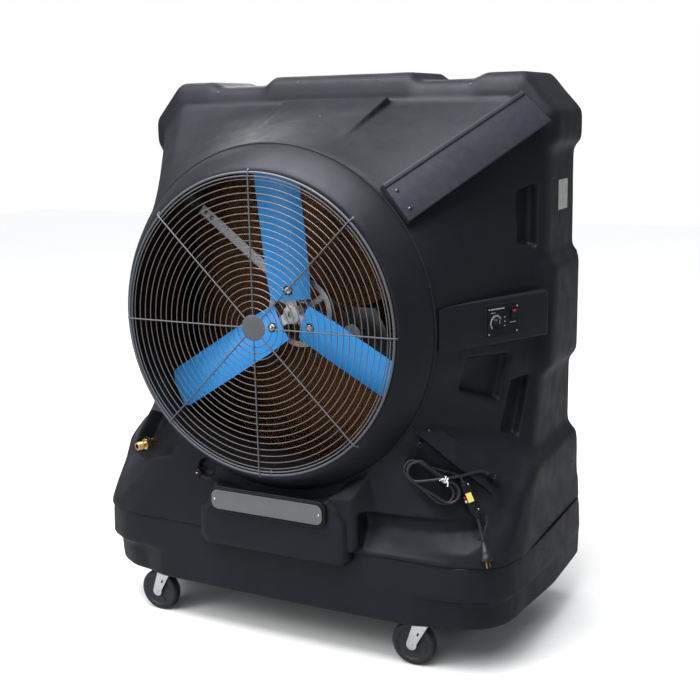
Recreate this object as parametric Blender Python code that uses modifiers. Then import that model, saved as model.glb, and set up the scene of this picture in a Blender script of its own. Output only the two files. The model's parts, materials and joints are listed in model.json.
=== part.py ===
"""Portable evaporative cooler on four swivel casters, in metres.

X is across the machine, -Y is the way the air leaves, +Z is up. The origin is on the ground under the middle
of the machine. Places are given as (x, depth, rise): depth is measured back from the fan guard's front plane,
and rise is measured up from the fan's axis.
"""

import math

import bmesh
import bpy
from mathutils import Matrix, Vector

# Driving dimensions.
FAN_HEIGHT = 1.14  # fan axis above the ground
GUARD_Y = -0.465  # the guard's front plane
REAR_DEPTH = 0.94  # the pad frame's rear face
WALL = 0.008  # moulded plastic wall
GAP = 0.0005  # between pieces that touch

GUARD_RADIUS = 0.49
DRUM_RADIUS = 0.5735  # where the collar meets the housing
DRUM_DEPTH = 0.1195
HOUSING_RING = 0.5745

FAN_DEPTH = 0.25
FAN_RADIUS = 0.54
BLADE_START = math.radians(93)
BLADE_CHORD = 0.15
BLADE_PITCH = math.radians(17)
BLADE_RAKE = math.radians(4.5)
BLADE_ROOT = 0.05
SHAFT_RADIUS = 0.0125
PULLEY_DEPTH = 0.312
DRIVEN_GROOVE = 0.116
MOTOR_GROOVE = 0.029
MOTOR_AXIS = (0.195, -0.068)
BAR_ANGLE = math.radians(142)  # the support bar crosses the drum at this angle
BAR_DEPTH = 0.3755

WHEEL_RADIUS = 0.076
WHEEL_WIDTH = 0.042
CASTER_TRAIL = 0.04
# Swivel axes, as (x on the right, depth).
CASTERS = {"front": (0.515, 0.168), "rear": (0.665, 0.66)}
TANK_FLOOR = 0.195  # the tank floor's underside, above the ground
TANK_LIP = 0.16

CORD_RADIUS = 0.0048
HANK_LENGTH = 0.186
HANK_HALF_HEIGHT = 0.036
HANK_LIFT = 0.027

# The front band's inner edge (x, depth, rise), and the housing's outline outside it (x, rise), from the top
# centre down the right side. The outline steps in and out to form the grips of the moulding.
HOUSING_EDGE = [
    ((0.0, 0.60, 0.70), (0.0, 0.797)),
    ((0.28, 0.60, 0.70), (0.275, 0.797)),
    ((0.30, 0.60, 0.70), (0.305, 0.768)),
    ((0.50, 0.60, 0.70), (0.50, 0.768)),
    ((0.53, 0.60, 0.70), (0.54, 0.787)),
    ((0.655, 0.60, 0.70), (0.685, 0.787)),
    ((0.74, 0.60, 0.62), (0.80, 0.655)),
    ((0.74, 0.60, 0.56), (0.80, 0.56)),
    ((0.74, 0.60, 0.53), (0.77, 0.53)),
    ((0.74, 0.60, 0.18), (0.77, 0.18)),
    ((0.745, 0.60, 0.15), (0.80, 0.15)),
    ((0.755, 0.60, 0.0), (0.80, 0.0)),
    ((0.76, 0.57, -0.17), (0.80, -0.19)),
    ((0.75, 0.56, -0.22), (0.77, -0.23)),
    ((0.75, 0.50, -0.44), (0.77, -0.46)),
    ((0.77, 0.42, -0.49), (0.805, -0.50)),
    ((0.77, 0.33, -0.54), (0.81, -0.55)),
    ((0.75, 0.27, -0.61), (0.81, -0.62)),
    ((0.74, 0.20, -0.67), (0.815, -0.69)),
    ((0.71, 0.13, -0.735), (0.82, -0.745)),
]
HOUSING_SILL = [(0.61, 0.10, -0.745), (0.30, 0.093, -0.745), (0.0, 0.09, -0.745)]
TANK_PLAN = [
    (0.0, 0.09),
    (0.30, 0.093),
    (0.61, 0.10),
    (0.71, 0.13),
    (0.775, 0.185),
    (0.81, 0.28),
    (0.825, 0.50),
    (0.83, 0.80),
    (0.83, 0.915),
    (0.805, 0.94),
]


def at(x, depth, rise):
    return Vector((x, GUARD_Y + depth, FAN_HEIGHT + rise))


def clear_scene():
    for obj in list(bpy.data.objects):
        bpy.data.objects.remove(obj, do_unlink=True)


def new_collection(name, hidden=False):
    collection = bpy.data.collections.new(name)
    bpy.context.scene.collection.children.link(collection)
    collection.hide_render = hidden
    return collection


def material(name, color, roughness, metallic=0.0):
    made = bpy.data.materials.new(name)
    made.use_nodes = True
    shader = made.node_tree.nodes["Principled BSDF"]
    shader.inputs["Base Color"].default_value = (*color, 1)
    shader.inputs["Roughness"].default_value = roughness
    shader.inputs["Metallic"].default_value = metallic
    return made


def place(obj, name, finish, collection=None):
    """Names an object, gives it its finish and puts it in the cooler's collection, or in another."""
    obj.name = name
    if obj.data.materials:
        obj.data.materials.clear()
    obj.data.materials.append(finish)
    for holder in list(obj.users_collection):
        holder.objects.unlink(obj)
    (collection or PARTS).objects.link(obj)
    return obj


def from_bmesh(bm, name, finish, origin=(0, 0, 0), collection=None):
    bmesh.ops.recalc_face_normals(bm, faces=bm.faces)
    mesh = bpy.data.meshes.new(name)
    bm.to_mesh(mesh)
    bm.free()
    obj = bpy.data.objects.new(name, mesh)
    obj.location = origin
    return place(obj, name, finish, collection)


def add_bevel(obj, width, segments=2, angle=35):
    bevel = obj.modifiers.new("edges", "BEVEL")
    bevel.width = width
    bevel.segments = segments
    bevel.limit_method = "ANGLE"
    bevel.angle_limit = math.radians(angle)
    return obj


def as_cutter(obj):
    obj.hide_render = True
    obj.display_type = "WIRE"
    return obj


def combine(obj, tools, operation):
    for tool in tools:
        step = obj.modifiers.new(f"{operation.lower()} {tool.name}", "BOOLEAN")
        step.operation = operation
        step.object = tool
    return obj


def box(name, centre, size, finish, bevel=0.0, origin=None, collection=None, turn=None):
    """A block. Its object's origin is at origin, or at its centre; turn is a rotation about its centre."""
    bm = bmesh.new()
    bmesh.ops.create_cube(bm, size=1)
    bmesh.ops.scale(bm, vec=size, verts=bm.verts)
    if turn:
        bmesh.ops.transform(bm, matrix=turn, verts=bm.verts)
    origin = Vector(origin if origin is not None else centre)
    bmesh.ops.translate(bm, vec=Vector(centre) - origin, verts=bm.verts)
    obj = from_bmesh(bm, name, finish, origin, collection)
    if bevel:
        add_bevel(obj, bevel)
    return obj


def rod(name, start, end, radius, finish, segments=24, origin=None, collection=None, end_radius=None):
    """A cylinder or a cone between two points."""
    start, end = Vector(start), Vector(end)
    origin = Vector(origin if origin is not None else start)
    length = (end - start).length
    bm = bmesh.new()
    bmesh.ops.create_cone(
        bm, cap_ends=True, segments=segments, radius1=radius,
        radius2=radius if end_radius is None else end_radius, depth=length,
    )
    turn = (end - start).to_track_quat("Z", "Y").to_matrix().to_4x4()
    bmesh.ops.transform(bm, matrix=Matrix.Translation((start + end) / 2 - origin) @ turn, verts=bm.verts)
    return from_bmesh(bm, name, finish, origin, collection)


def hull(name, points, finish, origin=(0, 0, 0), collection=None):
    """The convex solid that a few corner points span."""
    bm = bmesh.new()
    for point in points:
        bm.verts.new(Vector(point) - Vector(origin))
    found = bmesh.ops.convex_hull(bm, input=bm.verts)
    bmesh.ops.delete(bm, geom=found["geom_interior"], context="VERTS")
    return from_bmesh(bm, name, finish, origin, collection)


def turned(name, outline, centre, finish, steps=32, collection=None, axis="Y"):
    """A closed outline of (radius, distance along the axis) turned about +Y, or about +Z."""
    area = sum(a[0] * b[1] - b[0] * a[1] for a, b in zip(outline, outline[1:] + outline[:1]))
    if area > 0:
        outline = outline[::-1]
    mesh = bpy.data.meshes.new(name)
    count = len(outline)
    solid = min(radius for radius, _ in outline) < 1e-6
    if solid:
        first = next(i for i in range(count) if outline[i - 1][0] < 1e-6 and outline[i][0] < 1e-6)
        outline = outline[first:] + outline[:first]
    edges = [(i, (i + 1) % count) for i in range(count - (1 if solid else 0))]
    mesh.from_pydata([(r, 0, z) for r, z in outline], edges, [])
    obj = bpy.data.objects.new(name, mesh)
    obj.location = centre
    if axis == "Y":
        obj.rotation_euler = (-math.pi / 2, 0, 0)
    screw = obj.modifiers.new("turn", "SCREW")
    screw.steps = steps
    screw.render_steps = steps
    screw.use_merge_vertices = True
    screw.merge_threshold = 0.00001
    screw.use_smooth_shade = True
    return place(obj, name, finish, collection)


def flat_plate(name, outlines, thickness, finish, centre, collection=None):
    """A flat plate in the XZ plane, from closed outlines of (x, z); the later outlines are holes."""
    curve = bpy.data.curves.new(name, "CURVE")
    curve.dimensions = "2D"
    curve.fill_mode = "BOTH"
    curve.extrude = thickness / 2
    for outline in outlines:
        spline = curve.splines.new("POLY")
        spline.points.add(len(outline) - 1)
        spline.use_cyclic_u = True
        for point, (x, z) in zip(spline.points, outline):
            point.co = (x, z, 0, 1)
    drawn = bpy.data.objects.new(name, curve)
    drawn.rotation_euler = (math.pi / 2, 0, 0)
    drawn.location = centre
    bpy.context.scene.collection.objects.link(drawn)
    return meshed(drawn, name, finish, collection)


def meshed(drawn, name, finish, collection=None):
    """Turns a curve object into a closed mesh object in the same place."""
    bpy.context.view_layer.update()
    graph = bpy.context.evaluated_depsgraph_get()
    mesh = bpy.data.meshes.new_from_object(drawn.evaluated_get(graph))
    bm = bmesh.new()
    bm.from_mesh(mesh)
    bmesh.ops.remove_doubles(bm, verts=bm.verts, dist=0.00001)
    bmesh.ops.recalc_face_normals(bm, faces=bm.faces)
    bm.to_mesh(mesh)
    bm.free()
    obj = bpy.data.objects.new(name, mesh)
    obj.matrix_world = drawn.matrix_world
    bpy.data.objects.remove(drawn, do_unlink=True)
    return place(obj, name, finish, collection)


def tube(name, points, radius, finish, resolution=2):
    """A round tube through points, with filled caps."""
    curve = bpy.data.curves.new(name, "CURVE")
    curve.dimensions = "3D"
    curve.bevel_depth = radius
    curve.bevel_resolution = resolution
    curve.use_fill_caps = True
    spline = curve.splines.new("POLY")
    spline.points.add(len(points) - 1)
    for point, place_at in zip(spline.points, points):
        point.co = (*place_at, 1)
    return place(bpy.data.objects.new(name, curve), name, finish)


def smooth_route(points, spacing):
    """Points about spacing apart along a Catmull-Rom curve through points."""
    points = [Vector(p) for p in points]
    ends = [2 * points[0] - points[1]] + points + [2 * points[-1] - points[-2]]
    found = []
    for a, b, c, d in zip(ends, ends[1:], ends[2:], ends[3:]):
        count = max(1, round((c - b).length / spacing))
        for i in range(count):
            t = i / count
            found.append(
                0.5 * (2 * b + (c - a) * t + (2 * a - 5 * b + 4 * c - d) * t**2 + (3 * b - a - 3 * c + d) * t**3)
            )
    return found + [points[-1]]


def loft(rings, name, finish, closed_ends=False):
    """A surface across rings that have the same number of points, each ring a closed loop."""
    bm = bmesh.new()
    rows = [[bm.verts.new(point) for point in ring] for ring in rings]
    count = len(rows[0])
    for low, high in zip(rows, rows[1:]):
        for i in range(count):
            j = (i + 1) % count
            bm.faces.new((low[i], low[j], high[j], high[i]))
    if closed_ends:
        bm.faces.new(rows[0][::-1])
        bm.faces.new(rows[-1])
    return from_bmesh(bm, name, finish)


def circle(radius, segments, centre=(0, 0), start=0.0):
    steps = [start + 2 * math.pi * i / segments for i in range(segments)]
    return [(centre[0] + radius * math.cos(a), centre[1] + radius * math.sin(a)) for a in steps]


def subdivided(stations, longest=0.085):
    """The stations with more between them, so that the drum's circle stays round."""
    found = []
    for a, b in zip(stations, stations[1:]):
        span = (Vector(b[0]) - Vector(a[0])).length
        count = max(1, math.ceil(span / longest))
        for i in range(count):
            t = i / count
            found.append(tuple(Vector(p).lerp(Vector(q), t) for p, q in zip(a, b)))
    return found + [tuple(Vector(p) for p in stations[-1])]


def housing_stations():
    """For each station round the right half: drum point, band's inner edge, band, outline in front, outline behind."""
    whole = [(edge, (out[0], 0, out[1])) for edge, out in HOUSING_EDGE]
    sill = [(edge, edge) for edge in HOUSING_SILL]
    found = []
    for number, (edge, out) in enumerate(subdivided(whole) + subdivided([whole[-1], *sill])[1:]):
        angle = math.atan2(edge.x, edge.z)
        drum = Vector((HOUSING_RING * math.sin(angle), 0.12, HOUSING_RING * math.cos(angle)))
        band = Vector((edge.x, 0, edge.z)).lerp(Vector((out.x, 0, out.z)), 0.7)
        band.y = edge.y + 0.02
        found.append(
            (drum, edge, band, Vector((out.x, edge.y + 0.10, out.z)), Vector((out.x, REAR_DEPTH, out.z)))
        )
    return found, len(subdivided(whole))


def make_front_housing(finish):
    """The moulded shell: a loft from the drum's circle out to the band, and back along the sides. Its bottom is open."""
    right, walled = housing_stations()
    left = [tuple(Vector((-p.x, p.y, p.z)) for p in station) for station in right[-2:0:-1]]
    stations = right + left
    bm = bmesh.new()
    count = len(stations)
    last = len(right) - 1
    has_wall = [i < walled or i > 2 * last - walled for i in range(count)]
    rows = []
    for i, station in enumerate(stations):
        levels = station if has_wall[i] else station[:2]
        rows.append([bm.verts.new(at(p.x, p.y, p.z)) for p in levels])
    for i in range(count):
        a, b = rows[i], rows[(i + 1) % count]
        for j in range(min(len(a), len(b)) - 1):
            bm.faces.new((a[j], a[j + 1], b[j + 1], b[j]))
    bmesh.ops.recalc_face_normals(bm, faces=bm.faces)
    top = max(bm.faces, key=lambda face: face.calc_center_median().z)
    if top.normal.z < 0:
        bmesh.ops.reverse_faces(bm, faces=bm.faces)
    mesh = bpy.data.meshes.new("front_housing")
    bm.to_mesh(mesh)
    bm.free()
    obj = place(bpy.data.objects.new("front_housing", mesh), "front_housing", finish)
    shell = obj.modifiers.new("wall", "SOLIDIFY")
    shell.thickness = WALL
    shell.offset = -1
    return obj


def make_fan_shroud(finish):
    outline = [
        (0.497, 0.010), (0.520, 0.030), (0.549, 0.070), (DRUM_RADIUS, DRUM_DEPTH), (0.5645, DRUM_DEPTH),
        (0.561, 0.124), (0.561, 0.40), (0.554, 0.40), (0.554, 0.117), (0.540, 0.078), (0.512, 0.040),
        (0.487, 0.012),
    ]
    return turned("fan_shroud", outline, at(0, 0, 0), finish, steps=72)


def tank_ring(inset, height):
    """The tank's plan outline drawn in by inset, at a height above the ground."""
    right = [Vector(p) for p in TANK_PLAN]
    middle = Vector((0, (TANK_PLAN[0][1] + REAR_DEPTH) / 2))
    found = []
    for point in right:
        half_x = TANK_PLAN[-2][0]
        half_y = middle.y - TANK_PLAN[0][1]
        x = point.x * (1 - inset / half_x)
        y = middle.y + (point.y - middle.y) * (1 - inset / half_y)
        found.append((x, GUARD_Y + y, height))
    return found + [(-x, y, z) for x, y, z in found[:0:-1]]


def make_water_tank(finish):
    rings = [
        tank_ring(0.026, TANK_FLOOR),
        tank_ring(0.022, TANK_LIP),
        tank_ring(0.014, TANK_LIP),
        tank_ring(0.012, 0.265),
        tank_ring(0.002, 0.28),
        tank_ring(0.0, 0.387),
        tank_ring(0.008, 0.387),
        tank_ring(0.010, 0.285),
        tank_ring(0.020, 0.268),
        tank_ring(0.024, TANK_FLOOR + WALL),
    ]
    return loft(rings, "water_tank", finish, closed_ends=True)


def make_front_panel(finish):
    """The bulged cover under the drum: its top follows the collar."""
    reach = math.asin(0.22 / 0.60)
    arc = [(0.60 * math.sin(a), -0.60 * math.cos(a)) for a in (-reach * i / 8 for i in range(-8, 9))]
    outline = arc + [(-0.25, -0.585), (-0.29, -0.62), (-0.293, -0.78), (-0.27, -0.80)]
    outline += [(0.27, -0.80), (0.293, -0.78), (0.29, -0.62), (0.25, -0.585)]
    return flat_plate("front_panel", [outline], 0.045, finish, at(0, 0.0645, 0))


def rounded_bar(half_length, half_height, radius, segments=4):
    corners = []
    for sx, sz, start in ((1, 1, 0), (-1, 1, 90), (-1, -1, 180), (1, -1, 270)):
        centre = (sx * (half_length - radius), sz * (half_height - radius))
        for i in range(segments + 1):
            angle = math.radians(start + 90 * i / segments)
            corners.append((centre[0] + radius * math.cos(angle), centre[1] + radius * math.sin(angle)))
    return corners


def make_nameplate(black, silver):
    flat_plate("nameplate_bezel", [rounded_bar(0.224, 0.046, 0.030)], 0.012, black, at(0, 0.0355, -0.612))
    flat_plate("nameplate", [rounded_bar(0.213, 0.034, 0.024)], 0.004, silver, at(0, 0.027, -0.612))


def make_upper_brace(finish):
    """The flat brace from the collar to the upper right corner."""
    inner = [at(0.384, 0.12, 0.432), at(0.473, 0.12, 0.322)]
    outer = [at(0.68, 0.58, 0.71), at(0.775, 0.60, 0.615)]
    normal = (inner[1] - inner[0]).cross(outer[0] - inner[0]).normalized()
    if normal.y > 0:
        normal = -normal
    slide = (outer[0] - inner[0]).normalized() * 0.012
    corners = [inner[0] + slide, inner[1] + slide, outer[0], outer[1]]
    points = [c + normal * lift for c in corners for lift in (0.016, 0.028)]
    return add_bevel(hull("upper_brace", points, finish), 0.003)


def make_guard(steel):
    """Rings and spokes joined into one grille, with a disc in the middle."""
    disc = flat_plate("fan_guard", [circle(0.043, 28)], 0.009, steel, at(0, -0.0055, 0))
    tools = []
    for i in range(4):
        turn = Matrix.Rotation(math.pi / 4 * i, 4, "Y")
        size = (2 * GUARD_RADIUS, 0.005, 0.005)
        tools.append(as_cutter(box(f"guard_spoke_{i}", at(0, 0, 0), size, steel, collection=HELPERS, turn=turn)))
    for number, radius in enumerate([0.107, 0.171, 0.235, 0.299, 0.363, 0.427, GUARD_RADIUS], start=1):
        half = 0.0042 if radius == GUARD_RADIUS else 0.0026
        outline = [(radius + half, 0.0022), (radius, 0.0022 + half), (radius - half, 0.0022), (radius, 0.0022 - half)]
        tools.append(as_cutter(turned(f"guard_ring_{number}", outline, at(0, 0, 0), steel, 36, HELPERS)))
    return combine(disc, tools, "UNION")


def blade_angles():
    return [BLADE_START + math.radians(120 * i) for i in range(3)]


def blade_frame(angle):
    """Turns +X to point out along a blade, raked forward, with the blade's chord along Z pitched about it."""
    return Matrix.Rotation(-angle, 4, "Y") @ Matrix.Rotation(-BLADE_RAKE, 4, "Z") @ Matrix.Rotation(BLADE_PITCH, 4, "X")


def make_fan(blue, cast, steel):
    centre = at(0, FAN_DEPTH, 0)
    half = BLADE_CHORD / 2
    for number, angle in enumerate(blade_angles(), start=1):
        bm = bmesh.new()
        sections = 5
        rows = []
        for i in range(sections + 1):
            along = BLADE_ROOT + (FAN_RADIUS - BLADE_ROOT) * i / sections
            width = half * min(1.0, 0.92 + 0.4 * i / sections)
            row = []
            for j in range(5):
                across = -1 + 0.5 * j
                camber = -0.010 * (1 - across**2)
                row.append(bm.verts.new((along, camber, width * across)))
            rows.append(row)
        for low, high in zip(rows, rows[1:]):
            for j in range(4):
                bm.faces.new((low[j], low[j + 1], high[j + 1], high[j]))
        bmesh.ops.transform(bm, matrix=blade_frame(angle), verts=bm.verts)
        blade = from_bmesh(bm, f"fan_blade_{number}", blue, centre)
        sheet = blade.modifiers.new("sheet", "SOLIDIFY")
        sheet.thickness = 0.003
        sheet.offset = 0
    hub_outline = [(0.0128, -0.012), (0.030, -0.012), (0.036, -0.006), (0.036, 0.042), (0.0128, 0.042)]
    hub = turned("fan_hub", hub_outline, centre, cast, steps=32)
    arms = []
    for number, angle in enumerate(blade_angles(), start=1):
        turn = blade_frame(angle)
        offset = turn @ Vector((0.062, -0.003, 0))
        arms.append(as_cutter(box(f"hub_arm_{number}", centre + offset, (0.090, 0.008, 0.036), cast,
                                  collection=HELPERS, turn=turn)))
    combine(hub, arms, "UNION")
    rod("fan_shaft", at(0, 0.245, 0), at(0, 0.371, 0), SHAFT_RADIUS, steel, origin=centre)


def groove_outline(groove, half_width, inner):
    """A belt pulley's rim: flanges either side of a groove."""
    lip = groove + 0.007
    return [
        (inner, -half_width), (lip, -half_width), (lip, -half_width + 0.003), (groove, -half_width + 0.004),
        (groove, half_width - 0.004), (lip, half_width - 0.003), (lip, half_width), (inner, half_width),
    ]


def make_pulleys(cast, steel):
    centre = at(0, PULLEY_DEPTH, 0)
    rim = turned("driven_pulley", groove_outline(DRIVEN_GROOVE, 0.0105, 0.104), centre, cast, steps=48)
    boss = [(0.0128, -0.0095), (0.026, -0.0095), (0.026, 0.0095), (0.0128, 0.0095)]
    tools = [as_cutter(turned("pulley_boss", boss, centre, cast, 24, HELPERS))]
    for number, angle in enumerate(blade_angles(), start=1):
        turn = Matrix.Rotation(-angle - math.radians(60), 4, "Y")
        tools.append(as_cutter(box(f"pulley_arm_{number}", centre + turn @ Vector((0.064, 0, 0)),
                                   (0.086, 0.007, 0.020), cast, collection=HELPERS, turn=turn)))
    combine(rim, tools, "UNION")
    small = [(0.0, -0.0105)] + groove_outline(MOTOR_GROOVE, 0.0105, 0.0)[1:-1] + [(0.0, 0.0105)]
    motor_centre = at(MOTOR_AXIS[0], PULLEY_DEPTH, MOTOR_AXIS[1])
    turned("motor_pulley", small, motor_centre, cast, steps=28)
    rod("motor_shaft", motor_centre + Vector((0, 0.0110, 0)), at(MOTOR_AXIS[0], 0.3868, MOTOR_AXIS[1]),
        0.008, steel, 16, origin=motor_centre)


def belt_loop(grow):
    """The closed line round both pulleys, grow outside their grooves."""
    span = Vector(MOTOR_AXIS)
    big, small = DRIVEN_GROOVE + grow, MOTOR_GROOVE + grow
    toward = math.atan2(span.y, span.x)
    lean = math.acos((big - small) / span.length)
    found = []
    for i in range(29):
        angle = toward + lean + (2 * math.pi - 2 * lean) * i / 28
        found.append((big * math.cos(angle), big * math.sin(angle)))
    for i in range(13):
        angle = toward - lean + 2 * lean * i / 12
        found.append((span.x + small * math.cos(angle), span.y + small * math.sin(angle)))
    return found


def make_drive(black, steel, grey):
    flat_plate("drive_belt", [belt_loop(0.0085), belt_loop(0.001)], 0.009, black, at(0, PULLEY_DEPTH, 0))
    turned("shaft_bearing", [(0.0134, 0.0), (0.030, 0.0), (0.036, 0.008), (0.036, 0.034), (0.0134, 0.034)],
           at(0, 0.3375, 0), grey, steps=28)
    turn = Matrix.Rotation(-BAR_ANGLE, 4, "Y")
    box("support_bar", at(0, BAR_DEPTH, 0), (1.104, 0.006, 0.036), steel, turn=turn)
    x, z = MOTOR_AXIS
    outline = [(0.10, -0.11), (0.335, -0.295), (0.362, -0.262), (0.285, -0.05), (0.25, 0.015), (0.14, 0.015)]
    flat_plate("motor_bracket", [outline, circle(0.014, 16, (x, z))], 0.005, steel, at(0, 0.3825, 0))
    rod("motor", at(x, 0.3875, z), at(x, 0.60, z), 0.078, grey, 32)


def make_pads(pad, frame, pipe):
    width = 0.4925
    for name, side in (("pad_left", -1), ("pad_middle", 0), ("pad_right", 1)):
        box(name, at(side * (width + 0.004), 0.845, -0.035), (width, 0.14, 1.37), pad)
    opening = 0.455
    holes = []
    for side in (-1, 0, 1):
        middle = side * (width + 0.004)
        low, high = middle - opening / 2, middle + opening / 2
        holes.append([(low, -0.69), (high, -0.69), (high, 0.62), (low, 0.62)])
    outer = [(-0.755, -0.735), (0.755, -0.735), (0.755, 0.683), (0.703, 0.742), (-0.703, 0.742), (-0.755, 0.683)]
    flat_plate("pad_frame", [outer, *holes], 0.020, frame, at(0, REAR_DEPTH - 0.0105, 0))
    box("pad_tray", at(0, 0.843, -0.734), (1.50, 0.15, 0.010), frame)
    rod("distribution_pipe", at(-0.72, 0.845, 0.70), at(0.72, 0.845, 0.70), 0.0125, pipe, 16)
    route = [at(0.66, 0.55, -0.8045), at(0.66, 0.55, -0.72), at(0.675, 0.60, -0.62), at(0.69, 0.70, -0.50)]
    route += [at(0.70, 0.715, -0.2), at(0.70, 0.715, 0.2), at(0.70, 0.715, 0.60), at(0.70, 0.745, 0.67)]
    route += [at(0.70, 0.79, 0.70), at(0.70, 0.832, 0.70)]
    tube("riser_pipe", smooth_route(route, 0.05), 0.009, pipe)


def make_water_works(black, brass, blue):
    """The pump in its corner, the hose inlet on the front, and the float that shuts the water off."""
    pump_base = TANK_FLOOR + WALL + 0.001 - FAN_HEIGHT
    rod("pump", at(0.66, 0.55, pump_base), at(0.66, 0.55, -0.806), 0.045, black, 24)
    steps = [(0.0085, 0.0), (0.0145, 0.0), (0.0145, 0.022), (0.0115, 0.024), (0.0115, 0.034),
             (0.019, 0.034), (0.019, 0.046), (0.0085, 0.046)]
    inlet = turned("hose_inlet", [(r, y - 0.057) for r, y in steps], at(-0.564, 0.162, -0.496), brass, steps=20)
    inlet.rotation_euler = (-math.pi / 2, 0, math.radians(-17))
    pivot = at(-0.55, 0.56, -0.80)
    box("float_valve", pivot + Vector((0, 0.03, 0.015)), (0.05, 0.03, 0.06), brass, 0.004)
    arm = rod("float_arm", pivot, pivot + Vector((0.17, 0, -0.053)), 0.0035, brass, 8, origin=pivot)
    outline = [(0.0, 0.07)] + [
        (0.035 * math.sin(a), 0.035 + 0.035 * math.cos(a)) for a in (math.pi * i / 8 for i in range(1, 8))
    ] + [(0.0, 0.0)]
    ball = turned("float_ball", outline, pivot + Vector((0.196, 0, -0.097)), blue, 16, HELPERS, "Z")
    pin = rod("float_pin", pivot, pivot + Vector((0, 0.0145, 0)), 0.003, brass, 8, collection=HELPERS)
    return combine(arm, [as_cutter(ball), as_cutter(pin)], "UNION")


def make_valve(black, steel):
    axis = at(-0.2885, 0.055, -0.540)
    knob = [(0.0, 0.0), (0.014, 0.0), (0.017, 0.003), (0.017, 0.024), (0.0, 0.024)]
    turned("valve_knob", knob, axis, black, 20)
    rod("valve_stem", axis + Vector((0, 0.0245, 0)), axis + Vector((0, 0.054, 0)), 0.008, steel, 14)


def control_face():
    """The control box's outer face: its start at the drum, its direction and its outward normal."""
    start, end = at(0.580, 0.124, 0.005), at(0.80, 0.55, 0.005)
    along = (end - start).normalized()
    return start, along, along.cross(Vector((0, 0, 1))).normalized()


def face_turn():
    """Turns a block so that its X runs along the control face and its Y points out of it."""
    _, along, normal = control_face()
    return Matrix((along, normal, Vector((0, 0, 1)))).transposed().to_4x4()


def on_face(distance, lift, out):
    start, along, normal = control_face()
    return start + along * distance + Vector((0, 0, lift)) + normal * out


def make_controls(plastic, dark, black, red):
    plan = [(0.580, 0.124), (0.80, 0.55), (0.766, 0.594), (0.5835, 0.132)]
    points = [at(x, y, z) for x, y in plan for z in (-0.070, 0.080)]
    add_bevel(hull("control_box", points, plastic), 0.003)
    turn = face_turn()
    plate = box("control_plate", on_face(0.2705, 0.002, 0.0025), (0.136, 0.004, 0.094), dark, turn=turn)
    switch_at = on_face(0.313, 0.020, 0.0078)
    hole = box("switch_hole", switch_at, (0.023, 0.030, 0.034), dark, collection=HELPERS, turn=turn)
    combine(plate, [as_cutter(hole)], "DIFFERENCE")
    knob_at = on_face(0.238, -0.002, 0.005)
    _, _, normal = control_face()
    rod("speed_knob", knob_at, knob_at + normal * 0.014, 0.0165, black, 20, end_radius=0.014)
    rocked = turn @ Matrix.Rotation(math.radians(-8), 4, "X")
    box("power_switch", switch_at, (0.020, 0.005, 0.030), red, turn=rocked)


def make_caster(name, x, depth, zinc, black):
    """A plate, a fork that swivels under it with the axle through its legs, and a wheel that trails toward -X."""
    swivel = Vector((x, GUARD_Y + depth, 0))
    axle = swivel + Vector((-CASTER_TRAIL, 0, WHEEL_RADIUS))
    box(f"{name}_plate", swivel + Vector((0, 0, TANK_FLOOR - GAP - 0.0025)), (0.095, 0.072, 0.005), zinc)
    crown = [(0.0, 0.160), (0.034, 0.160), (0.037, 0.164), (0.037, 0.180), (0.026, 0.188), (0.0, 0.188)]
    fork = turned(f"{name}_fork", crown, swivel, zinc, 24, axis="Z")
    tools = []
    for side in (-1, 1):
        lower = circle(0.017, 10, (-CASTER_TRAIL, WHEEL_RADIUS))
        outline = [(0.024, 0.166), (-0.030, 0.166), *lower]
        points = [swivel + Vector((px, side * py, pz)) for px, pz in outline for py in (0.0245, 0.0285)]
        tools.append(as_cutter(hull(f"{name}_leg", points, zinc, collection=HELPERS)))
    across = Vector((0, 0.031, 0))
    tools.append(as_cutter(rod(f"{name}_axle", axle - across, axle + across, 0.006, zinc, 12, collection=HELPERS)))
    combine(fork, tools, "UNION")
    half = WHEEL_WIDTH / 2
    tread = [
        (0.0066, -half), (0.060, -half), (0.070, -half + 0.002), (WHEEL_RADIUS, -half + 0.010),
        (WHEEL_RADIUS, half - 0.010), (0.070, half - 0.002), (0.060, half), (0.0066, half),
    ]
    turned(f"{name}_wheel", tread, axle, black, 32)


def moulding_depth(x, rise):
    """How far back the front's slope is at a place: straight lines run out from the drum's circle to the band."""
    point = Vector((abs(x), rise))
    edges = [edge for edge, _ in HOUSING_EDGE] + HOUSING_SILL
    for (ax, ay, az), (bx, by, bz) in zip(edges, edges[1:]):
        before = ax * point.y - az * point.x
        after = bx * point.y - bz * point.x
        if before <= 0 <= after and point.dot(Vector((ax + bx, az + bz))) > 0:
            along = before / (before - after)
            reach = Vector((ax, az)).lerp(Vector((bx, bz)), along).length
            share = (point.length - HOUSING_RING) / (reach - HOUSING_RING)
            return 0.12 + share * (ay + (by - ay) * along - 0.12)
    return 0.12


def moulding_normal(x, rise, step=0.02):
    tilt_x = (moulding_depth(x + step, rise) - moulding_depth(x - step, rise)) / (2 * step)
    tilt_z = (moulding_depth(x, rise + step) - moulding_depth(x, rise - step)) / (2 * step)
    return Vector((tilt_x, -1, tilt_z)).normalized()


def off_moulding(x, rise, lift):
    return at(x, moulding_depth(x, rise), rise) + moulding_normal(x, rise) * lift


def lying_frame(start, end, normal):
    """Turns +X to run from start to end, with +Y pointing away from the moulding."""
    along = (end - start).normalized()
    out = (normal - normal.project(along)).normalized()
    return Matrix((along, out, along.cross(out))).transposed().to_4x4()


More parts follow.
